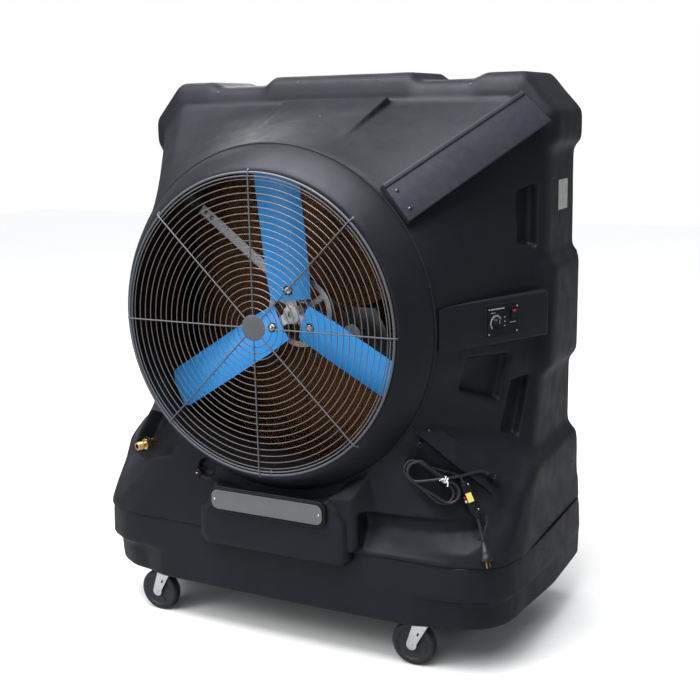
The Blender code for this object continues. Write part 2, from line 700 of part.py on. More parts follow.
def make_hank(black, white):
    """The bundled lead, as the solid it fills, and the tie round it. Returns what places a point on the bundle."""
    start, end = off_moulding(0.472, -0.428, HANK_LIFT), off_moulding(0.613, -0.550, HANK_LIFT)
    turn = lying_frame(start, end, moulding_normal(0.541, -0.480, 0.05))
    frame = Matrix.Translation((start + end) / 2) @ turn
    half = HANK_HALF_HEIGHT
    outline = rounded_bar(HANK_LENGTH / 2, half, half - 0.0005, 6)
    hank = flat_plate("cord_hank", [outline], 0.028, black, (0, 0, 0))
    hank.matrix_world = frame @ hank.matrix_world
    inner, outer = rounded_bar(0.0150, half + 0.0010, 0.003, 2), rounded_bar(0.0168, half + 0.0028, 0.004, 2)
    tie = flat_plate("cord_tie", [outer, inner], 0.009, white, (0, 0, 0))
    shift = Matrix.Translation((0.015, 0, 0))
    tie.matrix_world = frame @ shift @ Matrix.Rotation(math.pi / 2, 4, "Z") @ tie.matrix_world
    return frame


def make_plug(start, end, black, brass):
    body = rod("cord_plug", start, end, 0.011, black, 16, end_radius=0.018)
    along = (end - start).normalized()
    turn = lying_frame(start, end, moulding_normal(0.72, -0.69))
    tools = []
    for number, (side, size) in enumerate([(-0.0065, 0.006), (0.0065, 0.006)], start=1):
        centre = end + along * 0.008 + turn.to_3x3() @ Vector((0, 0.002, side))
        tools.append(as_cutter(box(f"plug_blade_{number}", centre, (0.020, size, 0.0016), brass,
                                   collection=HELPERS, turn=turn)))
    low = end + turn.to_3x3() @ Vector((0, -0.009, 0))
    tools.append(as_cutter(rod("plug_pin", low - along * 0.002, low + along * 0.02, 0.0024, brass, 8,
                               collection=HELPERS)))
    return combine(body, tools, "UNION")


def make_cord(black, brass, white):
    """The mains lead: a gland, a tied hank, an in-line breaker and a plug, down the slope of the front."""
    gland = off_moulding(0.705, -0.500, 0.016)
    out = (off_moulding(0.683, -0.482, 0.016) - gland).normalized()
    rod("cord_gland", gland, gland + out * 0.024, 0.012, black, 16, end_radius=0.008)
    bundle = make_hank(black, white)
    edge = HANK_HALF_HEIGHT + 0.0012
    lead = [gland + out * 0.0245, gland + out * 0.036, off_moulding(0.634, -0.467, 0.020),
            bundle @ Vector((0.040, 0.0, -edge - 0.022)), bundle @ Vector((0.035, 0.0, -edge - 0.002))]
    tube("cord_lead", smooth_route(lead, 0.02), CORD_RADIUS, black)
    top, low = off_moulding(0.622, -0.4975, 0.024), off_moulding(0.673, -0.599, 0.024)
    run = (low - top).normalized()
    middle = (top + low) / 2
    box("cord_breaker", middle, (0.114, 0.026, 0.034), black, 0.004,
        turn=lying_frame(top, low, moulding_normal(0.646, -0.55)))
    tail = [bundle @ Vector((0.062, 0.0, -edge)), bundle @ Vector((0.068, 0.0, -edge - 0.012)),
            middle - run * 0.068, middle - run * 0.0575]
    tube("cord_tail", smooth_route(tail, 0.012), CORD_RADIUS, black)
    plug = [off_moulding(0.712, -0.690, 0.026), off_moulding(0.727, -0.731, 0.026)]
    drop = (plug[1] - plug[0]).normalized()
    end = [middle + run * 0.0575, middle + run * 0.068, plug[0] - drop * 0.014, plug[0] - drop * 0.001]
    tube("cord_end", smooth_route(end, 0.02), CORD_RADIUS, black)
    make_plug(*plug, black, brass)
    rod("cord_hook", off_moulding(0.506, -0.364, 0.004), off_moulding(0.506, -0.364, 0.020), 0.008, black, 16)


PARTS = None
HELPERS = None


def main():
    global PARTS, HELPERS
    clear_scene()
    PARTS = new_collection("evaporative_cooler")
    HELPERS = new_collection("helpers", hidden=True)
    charcoal = material("moulded_charcoal", (0.030, 0.031, 0.036), 0.5)
    black = material("black_plastic", (0.012, 0.012, 0.013), 0.4)
    zinc = material("zinc_steel", (0.75, 0.76, 0.78), 0.3, 1.0)
    guard_steel = material("guard_steel", (0.55, 0.55, 0.57), 0.35, 1.0)
    blue = material("blade_blue", (0.05, 0.28, 0.75), 0.35)
    brass = material("brass", (0.70, 0.52, 0.25), 0.3, 1.0)
    pad = material("cellulose_pad", (0.25, 0.12, 0.04), 0.95)
    rubber = material("wheel_rubber", (0.02, 0.02, 0.02), 0.7)
    cord = material("cord_rubber", (0.01, 0.01, 0.01), 0.5)
    red = material("lamp_red", (0.6, 0.02, 0.02), 0.3)
    pipe = material("pipe_plastic", (0.8, 0.8, 0.8), 0.4)
    white = material("tie_white", (0.8, 0.8, 0.8), 0.6)

    make_front_housing(charcoal)
    make_fan_shroud(charcoal)
    make_water_tank(charcoal)
    make_front_panel(charcoal)
    make_nameplate(black, zinc)
    make_upper_brace(charcoal)
    make_guard(guard_steel)
    make_fan(blue, zinc, zinc)
    make_pulleys(zinc, zinc)
    make_drive(rubber, zinc, charcoal)
    make_pads(pad, black, pipe)
    make_water_works(black, brass, blue)
    make_valve(black, zinc)
    make_controls(charcoal, black, black, red)
    for row, (x, depth) in CASTERS.items():
        for side, sign in (("left", -1), ("right", 1)):
            make_caster(f"caster_{row}_{side}", sign * x, depth, zinc, rubber)
    make_cord(cord, brass, white)


main()
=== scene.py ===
"""The looks of a portable evaporative cooler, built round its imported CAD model.

X is across the machine, -Y is the way the air leaves, +Z is up, in metres. Places are given as
(x, depth, rise): depth is measured back from the fan guard's front plane, and rise up from the fan's axis.
"""

import json
from math import atan2, ceil, copysign, cos, hypot, pi, radians, sin, sqrt

import bmesh
import bpy
from mathutils import Matrix, Vector
from mathutils.bvhtree import BVHTree

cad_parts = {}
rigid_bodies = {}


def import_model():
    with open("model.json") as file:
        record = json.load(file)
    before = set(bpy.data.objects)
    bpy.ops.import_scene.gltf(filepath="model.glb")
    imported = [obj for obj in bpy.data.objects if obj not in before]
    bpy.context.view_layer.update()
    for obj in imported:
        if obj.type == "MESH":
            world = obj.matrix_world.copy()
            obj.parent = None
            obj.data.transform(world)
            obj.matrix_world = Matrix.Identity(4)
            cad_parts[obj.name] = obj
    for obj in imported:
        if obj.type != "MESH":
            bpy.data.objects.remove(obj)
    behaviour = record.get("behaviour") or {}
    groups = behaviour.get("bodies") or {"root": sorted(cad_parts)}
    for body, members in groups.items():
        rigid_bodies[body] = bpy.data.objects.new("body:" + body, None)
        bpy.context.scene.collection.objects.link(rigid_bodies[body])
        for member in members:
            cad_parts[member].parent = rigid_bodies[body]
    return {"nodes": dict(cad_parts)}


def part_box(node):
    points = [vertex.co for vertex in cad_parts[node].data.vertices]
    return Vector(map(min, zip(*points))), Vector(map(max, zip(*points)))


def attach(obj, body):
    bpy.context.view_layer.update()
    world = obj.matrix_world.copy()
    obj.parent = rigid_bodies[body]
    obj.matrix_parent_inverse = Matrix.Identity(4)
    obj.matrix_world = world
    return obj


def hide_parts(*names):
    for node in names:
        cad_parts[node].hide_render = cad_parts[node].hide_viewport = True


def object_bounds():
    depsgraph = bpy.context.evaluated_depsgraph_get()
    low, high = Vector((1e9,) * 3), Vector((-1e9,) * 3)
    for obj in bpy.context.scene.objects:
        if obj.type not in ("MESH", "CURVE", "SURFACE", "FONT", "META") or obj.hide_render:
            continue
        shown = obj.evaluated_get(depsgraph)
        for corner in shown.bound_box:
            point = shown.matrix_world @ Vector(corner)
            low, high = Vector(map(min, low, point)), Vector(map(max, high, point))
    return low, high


for unused in list(bpy.data.objects):
    bpy.data.objects.remove(unused, do_unlink=True)

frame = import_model()
CAD_LOW, CAD_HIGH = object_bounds()

# ---------------------------------------------------------------- places taken from the frame

SHROUD_LOW, SHROUD_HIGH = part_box("fan_shroud")
FAN_HEIGHT = (SHROUD_LOW.z + SHROUD_HIGH.z) / 2
GUARD_Y = SHROUD_LOW.y - 0.01
REAR_DEPTH = CAD_HIGH.y - GUARD_Y
DRUM_RADIUS = SHROUD_HIGH.x
HOUSING_RING = DRUM_RADIUS + 0.001
TANK_LOW, TANK_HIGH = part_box("water_tank")
WALL = 0.008

# The front band's inner edge (x, depth, rise), and the housing's outline outside it (x, rise), from the top
# centre down the right side.
HOUSING_EDGE = [
    ((0.0, 0.6, 0.7), (0.0, 0.797)),
    ((0.28, 0.6, 0.7), (0.275, 0.797)),
    ((0.3, 0.6, 0.7), (0.305, 0.768)),
    ((0.5, 0.6, 0.7), (0.5, 0.768)),
    ((0.53, 0.6, 0.7), (0.54, 0.787)),
    ((0.655, 0.6, 0.7), (0.685, 0.787)),
    ((0.74, 0.6, 0.62), (0.8, 0.655)),
    ((0.74, 0.6, 0.56), (0.8, 0.56)),
    ((0.74, 0.6, 0.53), (0.77, 0.53)),
    ((0.74, 0.6, 0.18), (0.77, 0.18)),
    ((0.745, 0.6, 0.15), (0.8, 0.15)),
    ((0.755, 0.6, 0.0), (0.8, 0.0)),
    ((0.76, 0.57, -0.17), (0.8, -0.19)),
    ((0.75, 0.56, -0.22), (0.77, -0.23)),
    ((0.75, 0.5, -0.44), (0.77, -0.46)),
    ((0.77, 0.42, -0.49), (0.805, -0.5)),
    ((0.77, 0.33, -0.54), (0.81, -0.55)),
    ((0.75, 0.27, -0.61), (0.81, -0.62)),
    ((0.74, 0.2, -0.67), (0.815, -0.69)),
    ((0.71, 0.13, -0.735), (0.82, -0.745)),
]
HOUSING_SILL = [(0.61, 0.1, -0.745), (0.3, 0.093, -0.745), (0.0, 0.09, -0.745)]
SILL_RISE = HOUSING_SILL[0][2]
# The tank's outline seen from above (x, depth), from the front's middle round to the rear corner.
TANK_PLAN = [(0.0, 0.09), (0.3, 0.093), (0.61, 0.1), (0.71, 0.13), (0.775, 0.185), (0.81, 0.28),
             (0.825, 0.5), (0.83, 0.8), (0.83, 0.915), (0.805, 0.94)]


def at(x, depth, rise):
    return Vector((x, GUARD_Y + depth, FAN_HEIGHT + rise))


def moved(place):
    return Matrix.Translation(place)


def spun(axis, angle):
    return Matrix.Rotation(angle, 4, axis)


def axes(x, y, z):
    """Turns the three axes to these directions."""
    return Matrix((x, y, z)).transposed().to_4x4()


# ---------------------------------------------------------------- camera, lights and floor

CAMERA_YAW, CAMERA_PITCH, CAMERA_ROLL = (radians(a) for a in (26.82, 12.2, -1.182))
CAMERA_AT = (1.8178, -2.9205, 0.6617)
FILM_WIDTH = 36.0
LENS = 56.3


def make_camera():
    a, e, r = CAMERA_YAW, CAMERA_PITCH, CAMERA_ROLL
    forward = Vector((-sin(a) * cos(e), cos(a) * cos(e), -sin(e)))
    level = Vector((cos(a), sin(a), 0))
    upright = level.cross(forward)
    right = level * cos(r) + upright * sin(r)
    up = upright * cos(r) - level * sin(r)
    data = bpy.data.cameras.new("camera")
    data.lens = LENS
    data.sensor_width = FILM_WIDTH
    data.clip_end = 60
    camera = bpy.data.objects.new("camera", data)
    camera.matrix_world = moved(at(*CAMERA_AT)) @ axes(right, up, -forward)
    bpy.context.scene.collection.objects.link(camera)
    bpy.context.scene.camera = camera


def add_light(name, place, target, size, power):
    data = bpy.data.lights.new(name, "AREA")
    data.shape = "RECTANGLE"
    data.size, data.size_y = size
    data.energy = power
    light = bpy.data.objects.new(name, data)
    light.matrix_world = moved(place) @ (target - place).to_track_quat("-Z", "Y").to_matrix().to_4x4()
    bpy.context.scene.collection.objects.link(light)


def make_studio():
    middle = Vector((0, 0, 1.0))
    for name, place, size, power in (
        ("overhead", (-0.1, -1.1, 4.3), (3.2, 2.4), 200),
        ("key_left", (-3.0, -4.0, 3.4), (2.2, 2.2), 88),
        ("front_low", (0.4, -5.2, 1.3), (1.6, 1.2), 26),
        ("behind", (-2.6, 3.8, 3.2), (2.6, 2.0), 60),
    ):
        add_light(name, Vector(place), middle, size, power)
    data = bpy.data.lights.new("ceiling", "SUN")
    data.energy = 2.75
    data.angle = radians(75)
    ceiling = bpy.data.objects.new("ceiling", data)
    ceiling.rotation_euler = (radians(14), radians(-10), 0)
    bpy.context.scene.collection.objects.link(ceiling)
    world = bpy.data.worlds.new("studio")
    world.use_nodes = True
    tree = world.node_tree
    soft = tree.nodes["Background"]
    soft.inputs["Color"].default_value = (0.93, 0.96, 1.0, 1)
    soft.inputs["Strength"].default_value = 0.22
    sweep = tree.nodes.new("ShaderNodeBackground")
    sweep.inputs["Color"].default_value = (1, 1, 1, 1)
    blend = tree.nodes.new("ShaderNodeMixShader")
    camera_ray = tree.nodes.new("ShaderNodeLightPath").outputs["Is Camera Ray"]
    for socket, source in zip(blend.inputs, (camera_ray, soft.outputs[0], sweep.outputs[0])):
        tree.links.new(source, socket)
    tree.links.new(blend.outputs[0], tree.nodes["World Output"].inputs["Surface"])
    bpy.context.scene.world = world
    bpy.context.scene.view_settings.view_transform = "Standard"
    bpy.context.scene.view_settings.look = "None"


def make_floor(finish):
    bm = bmesh.new()
    reach = 14.0
    corners = [(-reach, -reach), (reach, -reach), (reach, reach), (-reach, reach)]
    bm.faces.new([bm.verts.new((x, y, 0)) for x, y in corners])
    mesh = bpy.data.meshes.new("floor")
    bm.to_mesh(mesh)
    bm.free()
    mesh.materials.append(finish)
    floor = bpy.data.objects.new("floor", mesh)
    bpy.context.scene.collection.objects.link(floor)


# ---------------------------------------------------------------- materials


class Finish:
    """A procedural material: one Principled shader and the nodes that feed it, all in object coordinates."""

    def __init__(self, name, roughness, metallic=0.0, **constants):
        self.made = bpy.data.materials.new(name)
        self.made.use_nodes = True
        self.tree = self.made.node_tree
        self.shader = self.tree.nodes["Principled BSDF"]
        self.shader.inputs["Roughness"].default_value = roughness
        self.shader.inputs["Metallic"].default_value = metallic
        for socket, value in constants.items():
            self.shader.inputs[socket.replace("_", " ")].default_value = value
        if metallic == 0:
            self.shader.inputs["Specular Tint"].default_value = (0.86, 0.91, 1.0, 1)
        self.place = self.node("ShaderNodeTexCoord").outputs["Object"]
        self.height = None

    def node(self, kind, **settings):
        made = self.tree.nodes.new(kind)
        for key, value in settings.items():
            setattr(made, key, value)
        return made

    def link(self, source, target):
        self.tree.links.new(source, target)

    def stretched(self, scale):
        mapping = self.node("ShaderNodeMapping")
        mapping.inputs["Scale"].default_value = scale
        self.link(self.place, mapping.inputs["Vector"])
        return mapping.outputs["Vector"]

    def noise(self, scale, detail=4.0, roughness=0.55, stretch=None, distortion=0.0):
        made = self.node("ShaderNodeTexNoise")
        made.inputs["Scale"].default_value = scale
        made.inputs["Detail"].default_value = detail
        made.inputs["Roughness"].default_value = roughness
        made.inputs["Distortion"].default_value = distortion
        self.link(self.stretched(stretch) if stretch else self.place, made.inputs["Vector"])
        return made.outputs["Fac"]

    def spread(self, source, low, high, out_low=0.0, out_high=1.0):
        made = self.node("ShaderNodeMapRange")
        for socket, value in zip(("From Min", "From Max", "To Min", "To Max"), (low, high, out_low, out_high)):
            made.inputs[socket].default_value = value
        self.link(source, made.inputs["Value"])
        return made.outputs["Result"]

    def math(self, operation, *values):
        made = self.node("ShaderNodeMath", operation=operation)
        for socket, value in zip(made.inputs, values):
            if isinstance(value, (int, float)):
                socket.default_value = value
            else:
                self.link(value, socket)
        return made.outputs[0]

    def mix(self, share, first, second):
        made = self.node("ShaderNodeMix", data_type="RGBA")
        self.link(share, made.inputs["Factor"])
        for socket, value in zip((made.inputs[6], made.inputs[7]), (first, second)):
            if isinstance(value, tuple):
                socket.default_value = (*value, 1)
            else:
                self.link(value, socket)
        return made.outputs[2]

    def color(self, source):
        self.link(source, self.shader.inputs["Base Color"])

    def roughness(self, source):
        self.link(source, self.shader.inputs["Roughness"])

    def bump(self, source, distance, strength=1.0):
        made = self.node("ShaderNodeBump")
        made.inputs["Distance"].default_value = distance
        made.inputs["Strength"].default_value = strength
        self.link(source, made.inputs["Height"])
        if self.height:
            self.link(self.height, made.inputs["Normal"])
        self.height = made.outputs["Normal"]
        self.link(self.height, self.shader.inputs["Normal"])

    def facing_up(self, low=0.3, high=1.0):
        normal = self.node("ShaderNodeNewGeometry").outputs["Normal"]
        split = self.node("ShaderNodeSeparateXYZ")
        self.link(normal, split.inputs[0])
        return self.spread(split.outputs["Z"], low, high)

    def edges(self, low=0.52, high=0.6):
        return self.spread(self.node("ShaderNodeNewGeometry").outputs["Pointiness"], low, high)


def shade(color, factor):
    return tuple(min(1.0, c * factor) for c in color)


def plastic(name, color, roughness=0.55, grain=0.00035, dust_and_top_light=0.0, wear=0.0, patch=5.0):
    made = Finish(name, roughness, 0.0, Specular_IOR_Level=0.22)
    cloudy = made.noise(patch, 5, 0.6)
    tone = made.mix(made.spread(cloudy, 0.3, 0.7), shade(color, 0.88), shade(color, 1.12))
    # Upward-facing faces are mixed toward pale grey in patches: partly dust, partly a painted highlight on the
    # tops where the overhead light falls.
    if dust_and_top_light:
        dust_and_top_light_patches = made.math("MULTIPLY", made.facing_up(), made.spread(made.noise(9, 6, 0.65), 0.3, 0.75))
        share = made.math("MULTIPLY", dust_and_top_light_patches, dust_and_top_light)
        tone = made.mix(share, tone, (0.1, 0.1, 0.105))
    if wear:
        broken = made.math("MULTIPLY", made.edges(), made.spread(made.noise(40, 6, 0.7), 0.45, 0.65))
        tone = made.mix(made.math("MULTIPLY", broken, wear), tone, shade(color, 2.6))
    made.color(tone)
    made.roughness(made.spread(made.noise(14, 6, 0.6), 0.3, 0.7, roughness - 0.07, roughness + 0.09))
    made.bump(made.noise(85, 3, 0.5), grain * 0.9)
    made.bump(made.noise(620, 2, 0.5), grain)
    return made.made


def metal(name, color, roughness=0.35, brushed=None, tarnish=0.15, metallic=1.0, grain=0.00006, spangle=0.0):
    made = Finish(name, roughness, metallic)
    cloudy = made.noise(22, 6, 0.65)
    tone = made.mix(made.spread(cloudy, 0.35, 0.75), color, shade(color, 1 - tarnish))
    if spangle:
        flakes = made.node("ShaderNodeTexVoronoi")
        flakes.inputs["Scale"].default_value = 120
        made.link(made.place, flakes.inputs["Vector"])
        grey = made.node("ShaderNodeRGBToBW")
        made.link(flakes.outputs["Color"], grey.inputs[0])
        tone = made.mix(made.math("MULTIPLY", grey.outputs[0], spangle), tone, shade(color, 0.72))
    made.color(tone)
    streaks = made.noise(60, 5, 0.6, stretch=brushed) if brushed else made.noise(70, 5, 0.6)
    made.roughness(made.spread(streaks, 0.3, 0.7, roughness - 0.08, roughness + 0.12))
    made.bump(streaks, grain)
    return made.made


def cast_metal():
    made = Finish("cast_alloy_finish", 0.42, 0.35)
    cloudy = made.noise(30, 6, 0.6)
    made.color(made.mix(made.spread(cloudy, 0.3, 0.7), (0.62, 0.62, 0.64), (0.42, 0.42, 0.44)))
    made.roughness(made.spread(cloudy, 0.3, 0.7, 0.36, 0.56))
    made.bump(made.noise(300, 3, 0.6), 0.00025)
    return made.made


def painted(name, color, roughness=0.35, peel=0.0001):
    """Powder coat: even colour, fine orange peel, a little grime where air leaves dirt."""
    made = Finish(name, roughness, 0.0, Coat_Weight=0.25, Coat_Roughness=0.25)
    grime = made.spread(made.noise(12, 7, 0.7), 0.5, 0.85, 0.0, 0.35)
    made.color(made.mix(grime, color, shade(color, 0.62)))
    made.roughness(made.spread(made.noise(25, 5, 0.6), 0.3, 0.7, roughness - 0.06, roughness + 0.1))
    made.bump(made.noise(420, 2, 0.5), peel)
    return made.made


def rubber(name, color, roughness, grain=0.00008):
    made = Finish(name, roughness)
    made.color(made.mix(made.spread(made.noise(35, 5, 0.6), 0.35, 0.75), color, shade(color, 1.9)))
    made.roughness(made.spread(made.noise(50, 5, 0.6), 0.3, 0.7, roughness - 0.08, roughness + 0.12))
    made.bump(made.noise(500, 3, 0.6), grain)
    return made.made


def wet_pad():
    """Corrugated cellulose seen at the ends of its flutes: slanted cells in rows, painted shade inside each
    cell, pale rims.
    """
    made = Finish("wet_pad_finish", 0.85)
    split = made.node("ShaderNodeSeparateXYZ")
    made.link(made.place, split.inputs[0])
    along = made.math("MULTIPLY", split.outputs["X"], 2 * pi / 0.0165)
    lean = made.math("MULTIPLY", split.outputs["Z"], 2 * pi / 0.0075)
    rows = made.math("SINE", made.math("ADD", along, made.math("MULTIPLY", lean, 0.5)))
    cells = made.math("SINE", made.math("SUBTRACT", lean, made.math("MULTIPLY", along, 0.5)))
    ragged = made.spread(made.noise(160, 4, 0.6), 0.3, 0.7, -0.55, 0.55)
    rim = made.spread(made.math("ADD", made.math("MULTIPLY", rows, cells), ragged), -0.45, 0.75)
    bright = made.mix(made.spread(made.noise(3.2, 5, 0.6), 0.35, 0.7), (0.96, 0.43, 0.175), (0.8, 0.33, 0.13))
    # The dark brown between the rims is painted shade inside the open flutes.
    tone = made.mix(rim, (0.2, 0.074, 0.027), bright)
    scale = made.math("MULTIPLY", made.spread(made.noise(2.2, 6, 0.7), 0.58, 0.8), 0.4)
    made.color(made.mix(scale, tone, (0.45, 0.36, 0.26)))
    made.bump(rim, 0.004)
    return made.made


def floor_finish():
    """White to the camera, and grey to the light that it throws back onto the machine's upright faces."""
    made = Finish("studio_floor", 0.8)
    seen = made.node("ShaderNodeLightPath").outputs["Is Camera Ray"]
    white = made.mix(made.noise(0.6, 2, 0.5), (0.95, 0.95, 0.95), (0.97, 0.97, 0.97))
    made.color(made.mix(seen, (0.36, 0.36, 0.36), white))
    return made.made


CHARCOAL = (0.01, 0.0104, 0.0138)
F = {
    "moulded": plastic("moulded_plastic_finish", CHARCOAL, 0.46, 0.00045, dust_and_top_light=0.12, wear=0.4),
    # The brace's finish is the moulded charcoal made 2.6 times lighter: painted light where the brace faces
    # the overhead light.
    "brace": plastic("brace_painted_light_finish", shade(CHARCOAL, 2.6), 0.42, 0.00035, dust_and_top_light=0.12, wear=0.4),
    "cowl": plastic("cowl_plastic_finish", shade(CHARCOAL, 1.05), 0.4, 0.00025, dust_and_top_light=0.12, wear=0.3, patch=4),
    "black": plastic("black_plastic_finish", (0.008, 0.008, 0.0085), 0.36, 0.0002, dust_and_top_light=0.03, wear=0.3),
    "frame": plastic("pad_frame_finish", (0.011, 0.011, 0.012), 0.5, 0.0003, dust_and_top_light=0.06, wear=0.4),
    "control": plastic("control_plate_finish", (0.007, 0.007, 0.008), 0.38, 0.00012),
    "mark": plastic("white_mark_finish", (0.62, 0.62, 0.62), 0.5, 0.00005),
    "label": plastic("blank_label_finish", (0.55, 0.55, 0.54), 0.4, 0.00005, patch=30),
    "yellow": plastic("yellow_label_finish", (0.75, 0.66, 0.16), 0.4, 0.00005, patch=60),
    "white": plastic("tie_finish", (0.78, 0.78, 0.76), 0.5, 0.0001),
    "red": plastic("red_plastic_finish", (0.55, 0.03, 0.025), 0.3, 0.00005),
    "pipe": plastic("pipe_finish", (0.62, 0.62, 0.6), 0.35, 0.0001, patch=12),
    "float": plastic("float_finish", (0.04, 0.12, 0.35), 0.4, 0.0001, patch=20),
    "zinc": metal("zinc_finish", (0.82, 0.83, 0.85), 0.3, brushed=(1, 1, 9), tarnish=0.22, spangle=0.25),
    "dark_screw": metal("dark_screw_finish", (0.1, 0.1, 0.105), 0.38, tarnish=0.4),
    "bolt": metal("bolt_finish", (0.78, 0.78, 0.8), 0.25, tarnish=0.3),
    "shaft": metal("shaft_finish", (0.62, 0.63, 0.65), 0.28, brushed=(1, 14, 1), tarnish=0.3),
    "plate": metal("name_plate_finish", (0.2, 0.205, 0.215), 0.4, brushed=(0.4, 6, 30), tarnish=0.06,
                   metallic=0.75),
    "brass": metal("brass_finish", (0.78, 0.56, 0.26), 0.26, tarnish=0.35),
    "cast": cast_metal(),
    "guard": painted("guard_finish", (0.085, 0.09, 0.1), 0.38),
    "guard_light": painted("bar_finish", (0.86, 0.87, 0.88), 0.34),
    "wire": painted("guard_ring_finish", (0.125, 0.115, 0.105), 0.4),
    "blade": painted("blade_finish", (0.028, 0.34, 0.88), 0.36),
    "motor": painted("motor_finish", (0.045, 0.047, 0.05), 0.42),
    "cord": rubber("cord_finish", (0.01, 0.01, 0.011), 0.38),
    "belt": rubber("belt_finish", (0.014, 0.014, 0.014), 0.6, 0.0002),
    "tyre": rubber("wheel_finish", (0.013, 0.013, 0.014), 0.46, 0.00012),
    "pad": wet_pad(),
}

# ---------------------------------------------------------------- building pieces


def along_y(place, turn=0.0):
    """Puts a shape that is built along +Z at a place, pointing along +Y."""
    return moved(place) @ spun("Y", turn) @ spun("X", -pi / 2)


def pointing(place, direction, up=(0, 0, 1)):
    """Puts a shape that is built along +Z at a place, pointing in a direction, with its +Y near up."""
    z = Vector(direction).normalized()
    x = Vector(up).cross(z)
    if x.length < 1e-4:
        x = Vector((1, 0, 0)).cross(z)
    x.normalize()
    return moved(place) @ axes(x, z.cross(x), z)


def round_points(count, radius=1.0):
    """Places (x, y) round a circle, the first on +X."""
    angles = [2 * pi * i / count for i in range(count)]
    return [(radius * cos(a), radius * sin(a)) for a in angles]


def outward(angle):
    """Away from the fan's axis, at an angle from upright."""
    return Vector((sin(angle), 0, cos(angle)))


def box_of(name):
    """A CAD node's low corner, high corner and middle."""
    low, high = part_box(name)
    return low, high, (low + high) / 2


def bands(rings):
    """Quads from each closed ring in a list to the next."""
    found = []
    for low, high in zip(rings, rings[1:]):
        turned = range(1 - len(low), 1)
        found += [(low[i], low[j], high[j], high[i]) for i, j in enumerate(turned)]
    return found


def hull_of(points):
    bm = bmesh.new()
    for point in points:
        bm.verts.new(point)
    found = bmesh.ops.convex_hull(bm, input=bm.verts)
    bmesh.ops.delete(bm, geom=found["geom_interior"], context="VERTS")
    return bm


